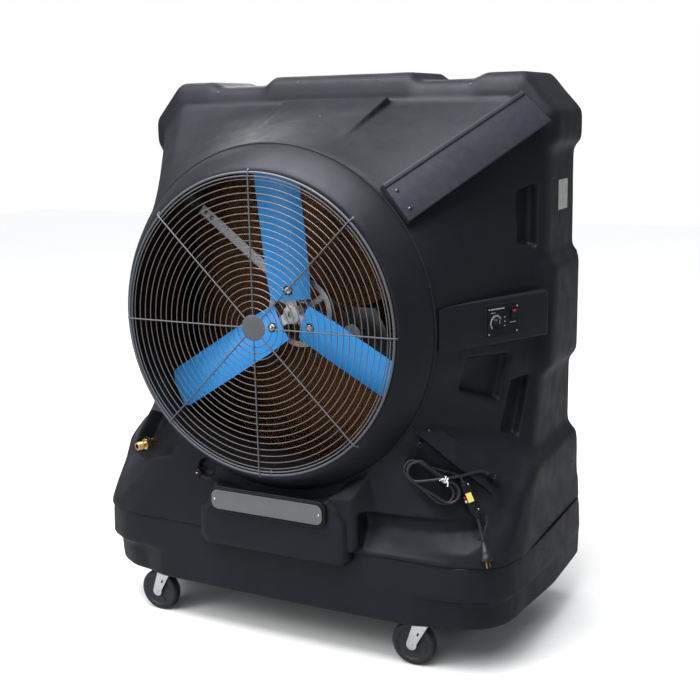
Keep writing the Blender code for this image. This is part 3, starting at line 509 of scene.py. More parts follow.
class Piece:
    """Collects shapes, each in the finish that was set last, into one mesh."""

    def __init__(self, finish):
        self.bm = bmesh.new()
        self.finishes = []
        self.paint(finish)

    def paint(self, finish):
        if finish not in self.finishes:
            self.finishes.append(finish)
        self.index = self.finishes.index(finish)
        return self

    def add(self, points, faces, matrix=Matrix()):
        made = [self.bm.verts.new(matrix @ Vector(p)) for p in points]
        for face in faces:
            new = self.bm.faces.new([made[i] for i in face])
            new.material_index = self.index
            new.smooth = True
        return self

    def _grown(self, other, matrix, bevel, segments, limit=25):
        if bevel:
            sharp = [e for e in other.edges if e.is_manifold and e.calc_face_angle(0) > radians(limit)]
            bmesh.ops.bevel(other, geom=sharp, offset=bevel, segments=segments, profile=0.5, affect="EDGES",
                            clamp_overlap=True)
        other.verts.index_update()
        self.add([v.co.copy() for v in other.verts], [[v.index for v in f.verts] for f in other.faces], matrix)
        other.free()
        return self

    def box(self, size, matrix, bevel=0.0, segments=2):
        other = bmesh.new()
        bmesh.ops.create_cube(other, size=1)
        bmesh.ops.scale(other, vec=size, verts=other.verts)
        return self._grown(other, matrix, bevel, segments)

    def hull(self, points, bevel, segments):
        other = hull_of(points)
        bmesh.ops.dissolve_limit(other, angle_limit=radians(1), verts=other.verts, edges=other.edges)
        bmesh.ops.recalc_face_normals(other, faces=other.faces)
        return self._grown(other, Matrix(), bevel, segments)

    def slab(self, outline, thickness, matrix, bevel=0.0, segments=3):
        """A flat outline of (x, y), thick along z, centred on it."""
        other = bmesh.new()
        low, high = ([other.verts.new((x, y, z)) for x, y in outline] for z in (-thickness / 2, thickness / 2))
        for face in [low[::-1], high, *bands([low, high])]:
            other.faces.new(face)
        bmesh.ops.recalc_face_normals(other, faces=other.faces)
        return self._grown(other, matrix, bevel, segments, 60)

    def turned(self, outline, matrix, steps=32):
        """An outline of (radius, height) turned about +Z. It is closed, or starts and ends on the axis."""
        points, rings = [], []
        for radius, height in outline:
            around = [(0, 0)] if radius < 1e-9 else round_points(steps, radius)
            rings.append(range(len(points), len(points) + len(around)))
            points += [(x, y, height) for x, y in around]
        if outline[0][0] >= 1e-9:
            rings.append(rings[0])
        faces = []
        for low, high in zip(rings, rings[1:]):
            if len(low) + len(high) > 2:
                low, high = ([*ring] * (steps // len(ring)) for ring in (low, high))
                faces += [tuple(dict.fromkeys(face)) for face in bands([low, high])]
        return self.add(points, faces, matrix)

    def rod(self, start, end, radius, steps=20):
        start, end = Vector(start), Vector(end)
        length = (end - start).length
        cut = min(radius, length) * 0.18
        outline = [(0, 0), (radius - cut, 0), (radius, cut), (radius, length - cut), (radius - cut, length),
                   (0, length)]
        return self.turned(outline, pointing(start, end - start), steps)

    def wire(self, points, radius, sides=8, closed=False):
        """A round wire through points."""
        points = [Vector(p) for p in points]
        count = len(points)
        side, rings, made = None, [], []
        for i, point in enumerate(points):
            before = points[i - 1] if closed or i else point
            after = points[(i + 1) % count] if closed or i < count - 1 else point
            heading = (after - before).normalized()
            if side is None:
                side = heading.orthogonal().normalized()
            side = (side - side.project(heading)).normalized()
            rings.append(range(len(made), len(made) + sides))
            made += [point + side * x + heading.cross(side) * y for x, y in round_points(sides, radius)]
        if closed:
            return self.add(made, bands(rings + rings[:1]))
        return self.add(made, [*bands(rings), rings[0][::-1], rings[-1]])

    def bolt(self, place, direction, across=0.013, height=0.006, washer=0.0):
        """A hexagon head, chamfered, on an optional washer."""
        place, direction = Vector(place), Vector(direction).normalized()
        if washer:
            edge = washer * 0.96
            self.turned([(0, 0), (edge, 0), (washer, 0.0004), (washer, 0.0014), (edge, 0.0018), (0, 0.0018)],
                        pointing(place, direction), 24)
            place = place + direction * 0.0018
        middle = place + direction * height / 2
        return self.slab(round_points(6, across / 2), height, pointing(middle, direction), height * 0.14, 2)

    def screw(self, place, direction, radius=0.006, height=0.003):
        """A domed head with a socket."""
        dome = [(0, height * 0.45), (radius * 0.22, height * 0.45), (radius * 0.26, height)]
        dome += [(radius * sin(a), height * cos(a)) for a in (radians(35 + 11 * i) for i in range(6))]
        return self.turned(dome + [(radius, -0.001), (0, -0.001)], pointing(place, direction), 18)

    def done(self, name, slot=None, replaces=(), body="base", sharp=38):
        bmesh.ops.recalc_face_normals(self.bm, faces=self.bm.faces)
        mesh = bpy.data.meshes.new(name)
        self.bm.to_mesh(mesh)
        self.bm.free()
        for finish in self.finishes:
            mesh.materials.append(F[finish])
        mesh.set_sharp_from_angle(angle=radians(sharp))
        return settled(bpy.data.objects.new(name, mesh), replaces, body)


def settled(obj, replaces, body="base"):
    if not obj.users_collection:
        bpy.context.scene.collection.objects.link(obj)
    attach(obj, body)
    if replaces:
        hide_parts(*replaces)
    return obj


def smooth_route(points, spacing):
    """Points about spacing apart along a Catmull-Rom curve through points."""
    points = [Vector(p) for p in points]
    ends = [2 * points[0] - points[1]] + points + [2 * points[-1] - points[-2]]
    found = []
    for a, b, c, d in zip(ends, ends[1:], ends[2:], ends[3:]):
        count = max(1, round((c - b).length / spacing))
        for t in (i / count for i in range(count)):
            curve = 2 * b + (c - a) * t + (2 * a - 5 * b + 4 * c - d) * t**2 + (3 * b - a - 3 * c + d) * t**3
            found.append(0.5 * curve)
    return found + [points[-1]]


def rounded_bar(half_length, half_height, radius, segments=6):
    corners = []
    for sx, sz, start in ((1, 1, 0), (-1, 1, 90), (-1, -1, 180), (1, -1, 270)):
        centre = (sx * (half_length - radius), sz * (half_height - radius))
        for i in range(segments + 1):
            angle = radians(start + 90 * i / segments)
            corners.append((centre[0] + radius * cos(angle), centre[1] + radius * sin(angle)))
    return corners


# ---------------------------------------------------------------- the mains lead

CORD_RADIUS = 0.0048
HANK_LENGTH = 0.186
HANK_HALF_HEIGHT = 0.036
HANK_LIFT = 0.027
HANK_FOLD = HANK_HALF_HEIGHT - CORD_RADIUS
HANK_RUN = HANK_LENGTH / 2 - HANK_HALF_HEIGHT
HANK_TURNS = 4
TURN_PITCH = 2 * CORD_RADIUS + 0.0004


def moulding_depth(x, rise):
    """How far back the front's slope is: straight lines run out from the drum's circle to the band."""
    point = Vector((abs(x), rise))
    edges = [edge for edge, _ in HOUSING_EDGE] + HOUSING_SILL
    for (ax, ay, az), (bx, by, bz) in zip(edges, edges[1:]):
        before = ax * point.y - az * point.x
        after = bx * point.y - bz * point.x
        if before <= 0 <= after and point.dot(Vector((ax + bx, az + bz))) > 0:
            along = before / (before - after)
            reach = Vector((ax, az)).lerp(Vector((bx, bz)), along).length
            share = (point.length - HOUSING_RING) / (reach - HOUSING_RING)
            return 0.12 + share * (ay + (by - ay) * along - 0.12)
    return 0.12


def moulding_normal(x, rise, step=0.02):
    tilt_x = (moulding_depth(x + step, rise) - moulding_depth(x - step, rise)) / (2 * step)
    tilt_z = (moulding_depth(x, rise + step) - moulding_depth(x, rise - step)) / (2 * step)
    return Vector((tilt_x, -1, tilt_z)).normalized()


def off_moulding(x, rise, lift):
    return at(x, moulding_depth(x, rise), rise) + moulding_normal(x, rise) * lift


def lying_frame(start, end, normal):
    """Turns +X to run from start to end, with +Y pointing away from the moulding."""
    along = (end - start).normalized()
    out = (normal - normal.project(along)).normalized()
    return axes(along, out, along.cross(out))


def hank_point(travel):
    """(x, z) at a distance along one turn: back along the lower run, round, along the upper run, round."""
    run, fold = 2 * HANK_RUN, pi * HANK_FOLD
    travel %= 2 * (run + fold)
    if travel < run:
        return HANK_RUN - travel, HANK_FOLD
    travel -= run
    if travel < fold:
        a = travel / HANK_FOLD
        return -HANK_RUN - HANK_FOLD * sin(a), HANK_FOLD * cos(a)
    travel -= fold
    if travel < run:
        return -HANK_RUN + travel, -HANK_FOLD
    a = (travel - run) / HANK_FOLD
    return HANK_RUN + HANK_FOLD * sin(a), -HANK_FOLD * cos(a)


GLAND = off_moulding(0.705, -0.5, 0.016)
GLAND_OUT = (off_moulding(0.683, -0.482, 0.016) - GLAND).normalized()
HANK_START, HANK_END = off_moulding(0.472, -0.428, HANK_LIFT), off_moulding(0.613, -0.55, HANK_LIFT)
BUNDLE = moved((HANK_START + HANK_END) / 2) @ lying_frame(
    HANK_START, HANK_END, moulding_normal(0.541, -0.48, 0.05))
BREAKER_TOP, BREAKER_LOW = off_moulding(0.622, -0.4975, 0.024), off_moulding(0.673, -0.599, 0.024)
BREAKER, BREAKER_RUN = (BREAKER_TOP + BREAKER_LOW) / 2, (BREAKER_LOW - BREAKER_TOP).normalized()
PLUG_START, PLUG_END = off_moulding(0.712, -0.69, 0.026), off_moulding(0.727, -0.731, 0.026)
PLUG_DROP = (PLUG_END - PLUG_START).normalized()
TURN_LENGTH = 4 * HANK_RUN + 2 * pi * HANK_FOLD
HANK_RISE = TURN_PITCH * HANK_TURNS / 2
HANK_TRAVEL = TURN_LENGTH * (HANK_TURNS - 1) + pi * HANK_FOLD * 0.8


def lead_route():
    """From the gland over the front of the hank's upper runs, then down into its lower run."""
    points = ((0.119, -0.035, -0.1265), (0.1075, -0.029, -0.1185), (0.096, -0.02, -0.1065),
              (0.08, -0.007, -0.0885), (0.062, 0.007, -0.069), (0.044, 0.018, -0.051),
              (0.024, HANK_RISE + 0.0095, -0.0325), (0.002, HANK_RISE + 0.0105, -0.012),
              (-0.02, HANK_RISE + 0.0065, 0.0082), (-0.0363, HANK_RISE + 0.0025, 0.0225),
              (-0.047, HANK_RISE + 0.0008, 0.0292))
    return [GLAND + GLAND_OUT * 0.0235, GLAND + GLAND_OUT * 0.036] + [BUNDLE @ Vector(p) for p in points]


def coil_route():
    """The hank's turns, each a little over, along and askew from the one before."""
    coil = []
    steps = round(26 * HANK_TRAVEL / TURN_LENGTH)
    for share in (i / steps for i in range(steps + 1)):
        gone = HANK_TRAVEL * share / TURN_LENGTH
        x, z = hank_point(2 * HANK_RUN + HANK_TRAVEL * share)
        ease = min(1.0, 4 * share, 4 * (1 - share))
        swell = 1 + 0.12 * ease * sin(1.25 * pi * gone)
        slip = 0.01 * ease * sin(0.95 * pi * gone + 0.6)
        lean = radians(6) * ease * sin(0.8 * pi * gone)
        spot = Vector((x * (1 + 0.04 * ease) + slip, HANK_RISE - gone * TURN_PITCH, z * swell))
        coil.append(BUNDLE @ (Matrix.Rotation(lean, 3, "Y") @ spot))
    return coil


def tail_route():
    """Off the hank's left fold, along its top to the breaker, and on from the breaker to the plug."""
    low = HANK_RISE - HANK_TRAVEL / TURN_LENGTH * TURN_PITCH
    points = ((-0.058, low - 0.0006, -0.0312), (-0.034, low - 0.0012, -0.0345), (-0.01, low - 0.0015, -0.042),
              (0.014, low - 0.0018, -0.0525), (0.034, -0.0172, -0.0615), (0.05, -0.0172, -0.0665),
              (0.06, -0.0172, -0.0685))
    through = [BREAKER + BREAKER_RUN * far for far in (-0.0675, -0.04, 0.03, 0.068)]
    into_plug = [PLUG_START - PLUG_DROP * far for far in (0.016, 0.001)]
    return [BUNDLE @ Vector(p) for p in points] + through + into_plug


def make_relief():
    relief = Piece("black")
    grown = [(0, 0), (0.0125, 0), (0.0135, 0.0015), (0.0135, 0.006), (0.012, 0.0075)]
    for i in range(4):
        base, wide = 0.0085 + i * 0.004, 0.0108 - i * 0.0011
        grown += [(wide, base), (wide, base + 0.0022)]
        grown += [(wide - 0.0016, base + 0.0026), (wide - 0.0016, base + 0.0036)]
    seat = pointing(GLAND, GLAND_OUT)
    relief.turned(grown + [(0.0062, 0.0245), (0, 0.0245)], seat, 28)
    relief.turned([(0, -0.01), (0.0165, -0.01), (0.0165, -0.001), (0.015, 0.0), (0, 0.0)], seat, 6)
    return relief.done("strain_relief", "black_plastic", ("cord_gland",))


def make_tie():
    tie = Piece("white")
    wide = HANK_RISE + 0.0085
    for shift, grow in ((0.0255, 0.0), (0.0325, 0.0006)):
        place = BUNDLE @ moved((shift, 0.0045, -HANK_FOLD)) @ spun("Y", radians(6))
        ring = rounded_bar(wide + grow, 0.0078 + grow, 0.0065)
        tie.wire([place @ Vector((0, y, z)) for y, z in ring], 0.0026, 8, closed=True)
    for side in (-1, 1):
        knot = [(0.029 + side * x, wide + y, z - HANK_FOLD)
                for x, y, z in ((0.002, 0.003, 0), (0.01, 0.007, 0.004), (0.016, 0.004, 0.014))]
        tie.wire([BUNDLE @ p for p in smooth_route(knot, 0.003)], 0.0024, 6)
    return tie.done("hank_tie", "tie_white", ("cord_tie",))


def make_breaker():
    """The leakage breaker: ribbed body, blank label, test and reset buttons, and a grip at each end."""
    held = moved(BREAKER) @ lying_frame(BREAKER_TOP, BREAKER_LOW, moulding_normal(0.646, -0.55))
    breaker = Piece("black")
    breaker.box((0.1, 0.024, 0.033), held, 0.005, 4)
    grip = [(0, 0.046), (0.0118, 0.046), (0.0128, 0.048), (0.0125, 0.053), (0.0075, 0.066), (0.0055, 0.068),
            (0, 0.068)]
    for side in (-1, 1):
        breaker.turned(grip, pointing(BREAKER, BREAKER_RUN * side), 20)
        for rib in range(5):
            place = held @ moved((side * (0.026 + rib * 0.0042), 0.0122, 0))
            breaker.box((0.0016, 0.0014, 0.026), place, 0.0005, 1)
    breaker.paint("yellow").box((0.03, 0.001, 0.02), held @ moved((-0.002, 0.0122, 0.0035)), 0.0004, 1)
    for shift, finish in ((-0.006, "red"), (0.006, "white")):
        place = held @ moved((shift, 0.004, 0.0175))
        breaker.paint(finish).box((0.008, 0.009, 0.004), place, 0.001, 2)
    breaker.paint("bolt")
    for x in (-0.042, 0.042):
        breaker.screw(held @ Vector((x, 0.012, -0.009)), held.to_3x3() @ Vector((0, 1, 0)), 0.0028, 0.0012)
    return breaker.done("leakage_breaker", "cord_rubber", ("cord_breaker",))


def make_plug():
    plug = Piece("cord")
    long = (PLUG_END - PLUG_START).length
    body = [(0, -0.014), (0.0062, -0.014), (0.0078, -0.006), (0.01, 0.0), (0.0132, long * 0.3),
            (0.0148, long * 0.42), (0.014, long * 0.5), (0.016, long * 0.62), (0.018, long * 0.8),
            (0.0184, long * 0.94), (0.0172, long), (0, long)]
    plug.turned(body, pointing(PLUG_START, PLUG_DROP), 28)
    side = lying_frame(PLUG_START, PLUG_END, moulding_normal(0.72, -0.69)).to_3x3()
    plug.paint("brass")
    for z in (-0.0065, 0.0065):
        place = moved(PLUG_END + PLUG_DROP * 0.009 + side @ Vector((0, 0.002, z))) @ side.to_4x4()
        plug.box((0.019, 0.0062, 0.0016), place, 0.0006, 2)
    pin = PLUG_END + side @ Vector((0, -0.009, 0))
    plug.rod(pin - PLUG_DROP * 0.002, pin + PLUG_DROP * 0.02, 0.0024, 14)
    return plug.done("mains_plug", "cord_rubber", ("cord_plug",))


def make_peg():
    foot = off_moulding(0.506, -0.364, 0.0)
    away = off_moulding(0.506, -0.364, 0.02) - foot
    outline = [(0, 0), (0.0115, 0), (0.0115, 0.003), (0.0085, 0.005), (0.008, 0.015), (0.01, 0.017),
               (0.0105, 0.019), (0.0085, 0.021), (0.0045, 0.0215), (0.004, 0.019), (0, 0.019)]
    peg = Piece("black").turned(outline, pointing(foot, away), 24)
    peg.done("cord_peg", "black_plastic", ("cord_hook",))


def make_cord():
    """The whole lead as one curve, with what is threaded on it and tied round it."""
    route = smooth_route(lead_route() + coil_route() + tail_route(), 0.008)
    length = sum((b - a).length for a, b in zip(route, route[1:]))
    curve = bpy.data.curves.new("mains_lead", "CURVE")
    curve.dimensions = "3D"
    curve.bevel_depth = CORD_RADIUS
    curve.bevel_resolution = 4
    curve.use_fill_caps = True
    spline = curve.splines.new("POLY")
    spline.points.add(len(route) - 1)
    for point, place in zip(spline.points, route):
        point.co = (*place, 1)
    spline.use_smooth = True
    curve.materials.append(F["cord"])
    cord = settled(bpy.data.objects.new("mains_lead", curve),
                   ("cord_lead", "cord_hank", "cord_tail", "cord_end"))
    relief, tie, breaker, plug = make_relief(), make_tie(), make_breaker(), make_plug()
    make_peg()
    return length


# ---------------------------------------------------------------- mouldings


def shape_object(name, bm):
    bmesh.ops.recalc_face_normals(bm, faces=bm.faces)
    mesh = bpy.data.meshes.new(name)
    bm.to_mesh(mesh)
    bm.free()
    obj = bpy.data.objects.new(name, mesh)
    bpy.context.scene.collection.objects.link(obj)
    return obj


def hull_shape(points):
    return shape_object("shape", hull_of(points))


def lofted_shape(rings):
    """A closed solid across rings of points, each ring a closed loop."""
    bm = bmesh.new()
    rows = [[bm.verts.new(p) for p in ring] for ring in rings]
    for face in [*bands(rows), rows[0][::-1], rows[-1]]:
        bm.faces.new(face)
    bmesh.ops.triangulate(bm, faces=bm.faces)
    return shape_object("shape", bm)


def cylinder_shape(start, end, radius, end_radius=None, steps=40):
    matrix = pointing(start, end - start)
    ends = ((0, radius), ((end - start).length, end_radius or radius))
    return lofted_shape([[matrix @ Vector((x, y, height)) for x, y in round_points(steps, reach)]
                         for height, reach in ends])


def pocket(corners, deep, draft=0.12, lift=0.03):
    """A cutter for a recess with these (x, rise) corners on the slope and drafted walls."""
    rim = [at(x, moulding_depth(x, rise), rise) for x, rise in corners]
    normal = moulding_normal(*(sum(values) / len(corners) for values in zip(*corners)), 0.03)
    middle = sum(rim, Vector()) / len(rim)
    outer = [p + normal * lift + (p - middle) * draft * 0.5 for p in rim]
    inner = [p - normal * deep - (p - middle) * draft for p in rim]
    return hull_shape(outer + inner)


def baked(obj):
    graph = bpy.context.evaluated_depsgraph_get()
    mesh = bpy.data.meshes.new_from_object(obj.evaluated_get(graph))
    obj.modifiers.clear()
    obj.data = mesh
    return obj


def relaxed(base, adds, cuts, voxel, passes):
    """Joins and cuts shapes, then remeshes the skin and relaxes it, so that every edge is rounded."""
    for operation, tools in (("UNION", adds), ("DIFFERENCE", cuts)):
        for tool in tools:
            step = base.modifiers.new(operation, "BOOLEAN")
            step.operation = operation
            step.solver = "EXACT"
            step.object = tool
    fill = base.modifiers.new("skin", "REMESH")
    fill.mode = "VOXEL"
    fill.voxel_size = voxel
    relax = base.modifiers.new("relax", "SMOOTH")
    relax.factor = 0.5
    relax.iterations = passes
    bpy.context.view_layer.update()
    baked(base)
    for tool in [*adds, *cuts]:
        bpy.data.objects.remove(tool, do_unlink=True)
    return base


def thinned(base, keep):
    """Takes the skin off its object with fewer faces, fewest where it is flat."""
    thin = base.modifiers.new("thin", "DECIMATE")
    thin.ratio = keep
    bpy.context.view_layer.update()
    mesh = baked(base).data
    bpy.data.objects.remove(base, do_unlink=True)
    return mesh


def subdivided(stations, longest=0.06):
    found = []
    for a, b in zip(stations, stations[1:]):
        span = (Vector(b[0]) - Vector(a[0])).length
        count = max(1, ceil(span / longest))
        for i in range(count):
            t = i / count
            found.append(tuple(Vector(p).lerp(Vector(q), t) for p, q in zip(a, b)))
    return found + [tuple(Vector(p) for p in stations[-1])]


def housing_stations():
    """For each station round the right half: points from the drum's circle out and back along the side."""
    whole = [(edge, (out[0], 0, out[1])) for edge, out in HOUSING_EDGE]
    sill = [(edge, edge) for edge in HOUSING_SILL]
    found = []
    for edge, out in subdivided(whole) + subdivided([whole[-1], *sill])[1:]:
        angle = atan2(edge.x, edge.z)
        drum = Vector((HOUSING_RING * sin(angle), 0.12, HOUSING_RING * cos(angle)))
        flat_edge, flat_out = Vector((edge.x, 0, edge.z)), Vector((out.x, 0, out.z))
        low = max(0.0, min(1.0, (-0.5 - out.z) / 0.24))
        foot = flat_edge.lerp(flat_out, 0.22)
        foot.y = edge.y - 0.004 + 0.016 * low
        crest = flat_edge.lerp(flat_out, 0.8 - 0.2 * low)
        crest.y = edge.y + 0.016 + 0.039 * low
        shoulder = Vector((out.x - copysign(0.01, out.x) * low, edge.y + 0.05 + 0.1 * low, out.z))
        found.append((drum, edge, foot, crest, shoulder, Vector((out.x, REAR_DEPTH, out.z))))
    return found, len(subdivided(whole))


def housing_solid():
    right, walled = housing_stations()
    left = [tuple(Vector((-p.x, p.y, p.z)) for p in station) for station in right[-2:0:-1]]
    stations = right + left
    last, count = len(right) - 1, len(stations)
    bm = bmesh.new()
    rows = []
    for i, station in enumerate(stations):
        levels = station if i < walled or i > 2 * last - walled else station[:2]
        rows.append([bm.verts.new(at(p.x, p.y, p.z)) for p in levels])
    for i in range(count):
        a, b = rows[i], rows[(i + 1) % count]
        for j in range(min(len(a), len(b)) - 1):
            bm.faces.new((a[j], a[j + 1], b[j + 1], b[j]))
    bm.faces.new([row[0] for row in rows])
    ring = list(range(2 * last - walled + 1, count)) + list(range(walled))
    bm.faces.new([rows[i][-1] for i in ring])
    bottom = rows[walled - 1][:0:-1] + [rows[i][1] for i in range(walled, 2 * last - walled + 1)]
    bottom += rows[2 * last - walled + 1][1:]
    below = [bm.verts.new(v.co - Vector((0, 0, 0.04))) for v in bottom]
    for i in range(len(bottom) - 1):
        bm.faces.new((bottom[i], bottom[i + 1], below[i + 1], below[i]))
    bm.faces.new((bottom[-1], bottom[0], below[0], below[-1]))
    bm.faces.new(below)
    bmesh.ops.triangulate(bm, faces=bm.faces)
    return shape_object("housing_solid", bm)


def trough(side, start, end, bite):
    """A cutter for the hollow above the ledge: deepest beside the front cover, and nothing at its far end."""
    rings = []
    steps = 10
    for i in range(steps + 1):
        share = i / steps
        x = start + (end - start) * share
        deep = bite * (1 - max(0.0, share - 0.25) / 0.75) ** 0.8 + 0.0005
        top = -0.604 + 0.01 * share
        upper, lower = moulding_depth(x, top), moulding_depth(x, SILL_RISE + 0.006)
        section = [(upper - 0.06, top + 0.004), (upper - 0.001, top), (upper + deep * 0.75, top - 0.022),
                   (upper + deep, top - 0.055), (lower + deep * 0.6, SILL_RISE + 0.035),
                   (lower + deep * 0.15, SILL_RISE + 0.008), (lower - 0.06, SILL_RISE + 0.004)]
        rings.append([at(side * x, depth, rise) for depth, rise in section])
    return lofted_shape(rings)


# Corners of what is sunk into the slope, as (x, rise): their depth is the slope's own.
SLOT_UPPER = [(0.697, 0.408), (0.74, 0.428), (0.74, 0.21), (0.705, 0.226)]
SLOT_LOWER = [(0.704, -0.212), (0.746, -0.203), (0.73, -0.412), (0.687, -0.383)]
RECESS = [(0.622, -0.101), (0.706, -0.117), (0.684, -0.276), (0.601, -0.208)]
INLET_POCKET = [(-0.735, -0.575), (-0.62, -0.4), (-0.48, -0.365), (-0.4, -0.45), (-0.44, -0.512),
                (-0.6, -0.56)]
KNOB_PLACE = (-0.2885, -0.54)


def level_cut(mesh, height, side):
    """The mesh without what is above a height (side 1) or below it (side -1), open there."""
    bm = bmesh.new()
    bm.from_mesh(mesh)
    bmesh.ops.bisect_plane(bm, geom=[*bm.verts, *bm.edges, *bm.faces], plane_co=(0, 0, height),
                           plane_no=(0, 0, side), clear_outer=True)
    return bm


def make_shell(name, bm, mesh, thickness, replaced):
    """Puts a trimmed skin back into its mesh, walled, in place of a CAD node."""
    bmesh.ops.delete(bm, geom=[v for v in bm.verts if not v.link_faces], context="VERTS")
    for face in bm.faces:
        face.smooth = True
    bm.to_mesh(mesh)
    bm.free()
    mesh.materials.clear()
    mesh.materials.append(F["moulded"])
    mesh.set_sharp_from_angle(angle=radians(60))
    obj = bpy.data.objects.new(name, mesh)
    wall = obj.modifiers.new("wall", "SOLIDIFY")
    wall.thickness = thickness
    wall.offset = -1
    settled(obj, (replaced,))


def nearest_on(outline, x, z):
    """The nearest point of a closed outline of (x, z)."""
    place = Vector((x, z))
    found = []
    for a, b in zip(outline, outline[1:] + outline[:1]):
        a, run = Vector(a), Vector(b) - Vector(a)
        found.append(a + run * max(0.0, min(1.0, (place - a).dot(run) / run.length_squared)))
    return min(found, key=lambda p: (p - place).length)


def inside(outline, x, z):
    hit = False
    for (ax, az), (bx, bz) in zip(outline, outline[1:] + outline[:1]):
        if (az > z) != (bz > z) and x < (bx - ax) * (z - az) / (bz - az) + ax:
            hit = not hit
    return hit


REAR_OPENING = [(-0.757, -0.737), (0.757, -0.737), (0.757, 0.684), (0.7045, 0.744), (-0.7045, 0.744),
                (-0.757, 0.684)]


def make_housing():
    """The whole shell: a loft round the front, with what stands out of it and what is sunk into it."""
    centre_panel = [(-0.115, 0.18, 0.56), (0.195, 0.18, 0.555), (0.228, 0.552, 0.716), (-0.19, 0.567, 0.71),
                    (-0.115, 0.22, 0.5), (0.195, 0.22, 0.5), (0.225, 0.66, 0.66), (-0.19, 0.66, 0.66)]
    flank = [(0.3, 0.06, -0.56), (0.3, 0.06, -0.742), (0.345, 0.118, -0.478), (0.386, 0.118, -0.6),
             (0.315, 0.096, -0.742), (0.2, 0.06, -0.57), (0.2, 0.06, -0.742), (0.3, 0.16, -0.5),
             (0.3, 0.16, -0.742), (0.386, 0.16, -0.6)]
    ridge = [(0.478, 0.112, -0.3), (0.62, 0.165, -0.43), (0.752, 0.29, -0.585)]
    spine = ridge + [(x - 0.02, y + 0.05, z + 0.07) for x, y, z in ridge]
    spine += [(x - 0.05, y + 0.1, z - 0.03) for x, y, z in ridge]
    adds = [hull_shape([at(*p) for p in corners]) for corners in (centre_panel, flank, spine)]
    cuts = []
    for corners, deep in ((SLOT_UPPER, 0.034), (SLOT_LOWER, 0.036)):
        cuts += [pocket(corners, deep), pocket([(-x, rise) for x, rise in corners], deep)]
    x, rise = KNOB_PLACE
    cuts += [pocket(RECESS, 0.032), pocket(INLET_POCKET, 0.055, 0.1), trough(1, 0.318, 0.705, 0.044),
             cylinder_shape(at(x, 0.0, rise), at(x, 0.14, rise), 0.042, 0.032)]
    body = relaxed(housing_solid(), [], [], 0.011, 9)
    mesh = thinned(relaxed(body, adds, cuts, 0.0062, 6), 0.42)

    bm = level_cut(mesh, FAN_HEIGHT + SILL_RISE - 0.006, -1)
    doomed = []
    for face in bm.faces:
        c = face.calc_center_median()
        depth, rise = c.y - GUARD_Y, c.z - FAN_HEIGHT
        in_drum = hypot(c.x, rise) < HOUSING_RING - 0.003 and depth < 0.135
        if in_drum or (depth > REAR_DEPTH - 0.006 and inside(REAR_OPENING, c.x, rise)):
            doomed.append(face)
    bmesh.ops.delete(bm, geom=doomed, context="FACES")
    for vert in (v for v in bm.verts if v.is_boundary):
        depth, rise = vert.co.y - GUARD_Y, vert.co.z - FAN_HEIGHT
        radius = hypot(vert.co.x, rise)
        if depth < 0.14 and abs(radius - HOUSING_RING) < 0.02:
            vert.co = at(vert.co.x * HOUSING_RING / radius, 0.1202, rise * HOUSING_RING / radius)
        elif depth > REAR_DEPTH - 0.03 and rise > SILL_RISE + 0.02:
            snapped = nearest_on(REAR_OPENING, vert.co.x, rise)
            vert.co = at(snapped.x, REAR_DEPTH - 0.0005, snapped.y)
    make_shell("housing_shell", bm, mesh, WALL, "front_housing")
    corners, polygons = [v.co.copy() for v in mesh.vertices], [tuple(p.vertices) for p in mesh.polygons]
    return BVHTree.FromPolygons(corners, polygons)


def plan_ring(inset, height, corner_inset=0.0):
    middle = Vector((0, (TANK_PLAN[0][1] + REAR_DEPTH) / 2))
    half_x, half_y = TANK_PLAN[-2][0], middle.y - TANK_PLAN[0][1]
    route = smooth_route([(x, y, 0) for x, y in TANK_PLAN[:-1]], 0.03)
    route.append(Vector((TANK_PLAN[-1][0], TANK_PLAN[-1][1], 0)))
    found = []
    for p in route:
        outward_share = max(0.0, min(1.0, (abs(p.x) - 0.5) / 0.1))
        forward_share = max(0.0, min(1.0, (0.62 - p.y) / 0.25))
        grow = inset + corner_inset * outward_share * forward_share
        y = middle.y + (p.y - middle.y) * (1 - grow / half_y)
        found.append((p.x * (1 - grow / half_x), GUARD_Y + y, height))
    return [Vector(p) for p in found] + [Vector((-x, y, z)) for x, y, z in found[:0:-1]]


def make_tank():
    """The tank: a band under the housing's sill, a skirt drawn in at the corners above the casters."""
    low, high = TANK_LOW.z, TANK_HIGH.z
    body = lofted_shape([plan_ring(*ring) for ring in (
        (0.012, low, 0.022), (0.005, low + 0.012, 0.022), (0.003, 0.258, 0.02), (0.001, 0.276, 0.0),
        (0.004, high - 0.03, 0.0), (0.009, high + 0.03, 0.0))])
    plate_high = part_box("caster_front_right_plate")[1]
    under = lofted_shape([plan_ring(0.036, low - 0.05, 0.018), plan_ring(0.034, plate_high.z, 0.018)])
    mesh = thinned(relaxed(body, [], [under], 0.0055, 7), 0.45)
    make_shell("tank_shell", level_cut(mesh, high, 1), mesh, 0.006, "water_tank")


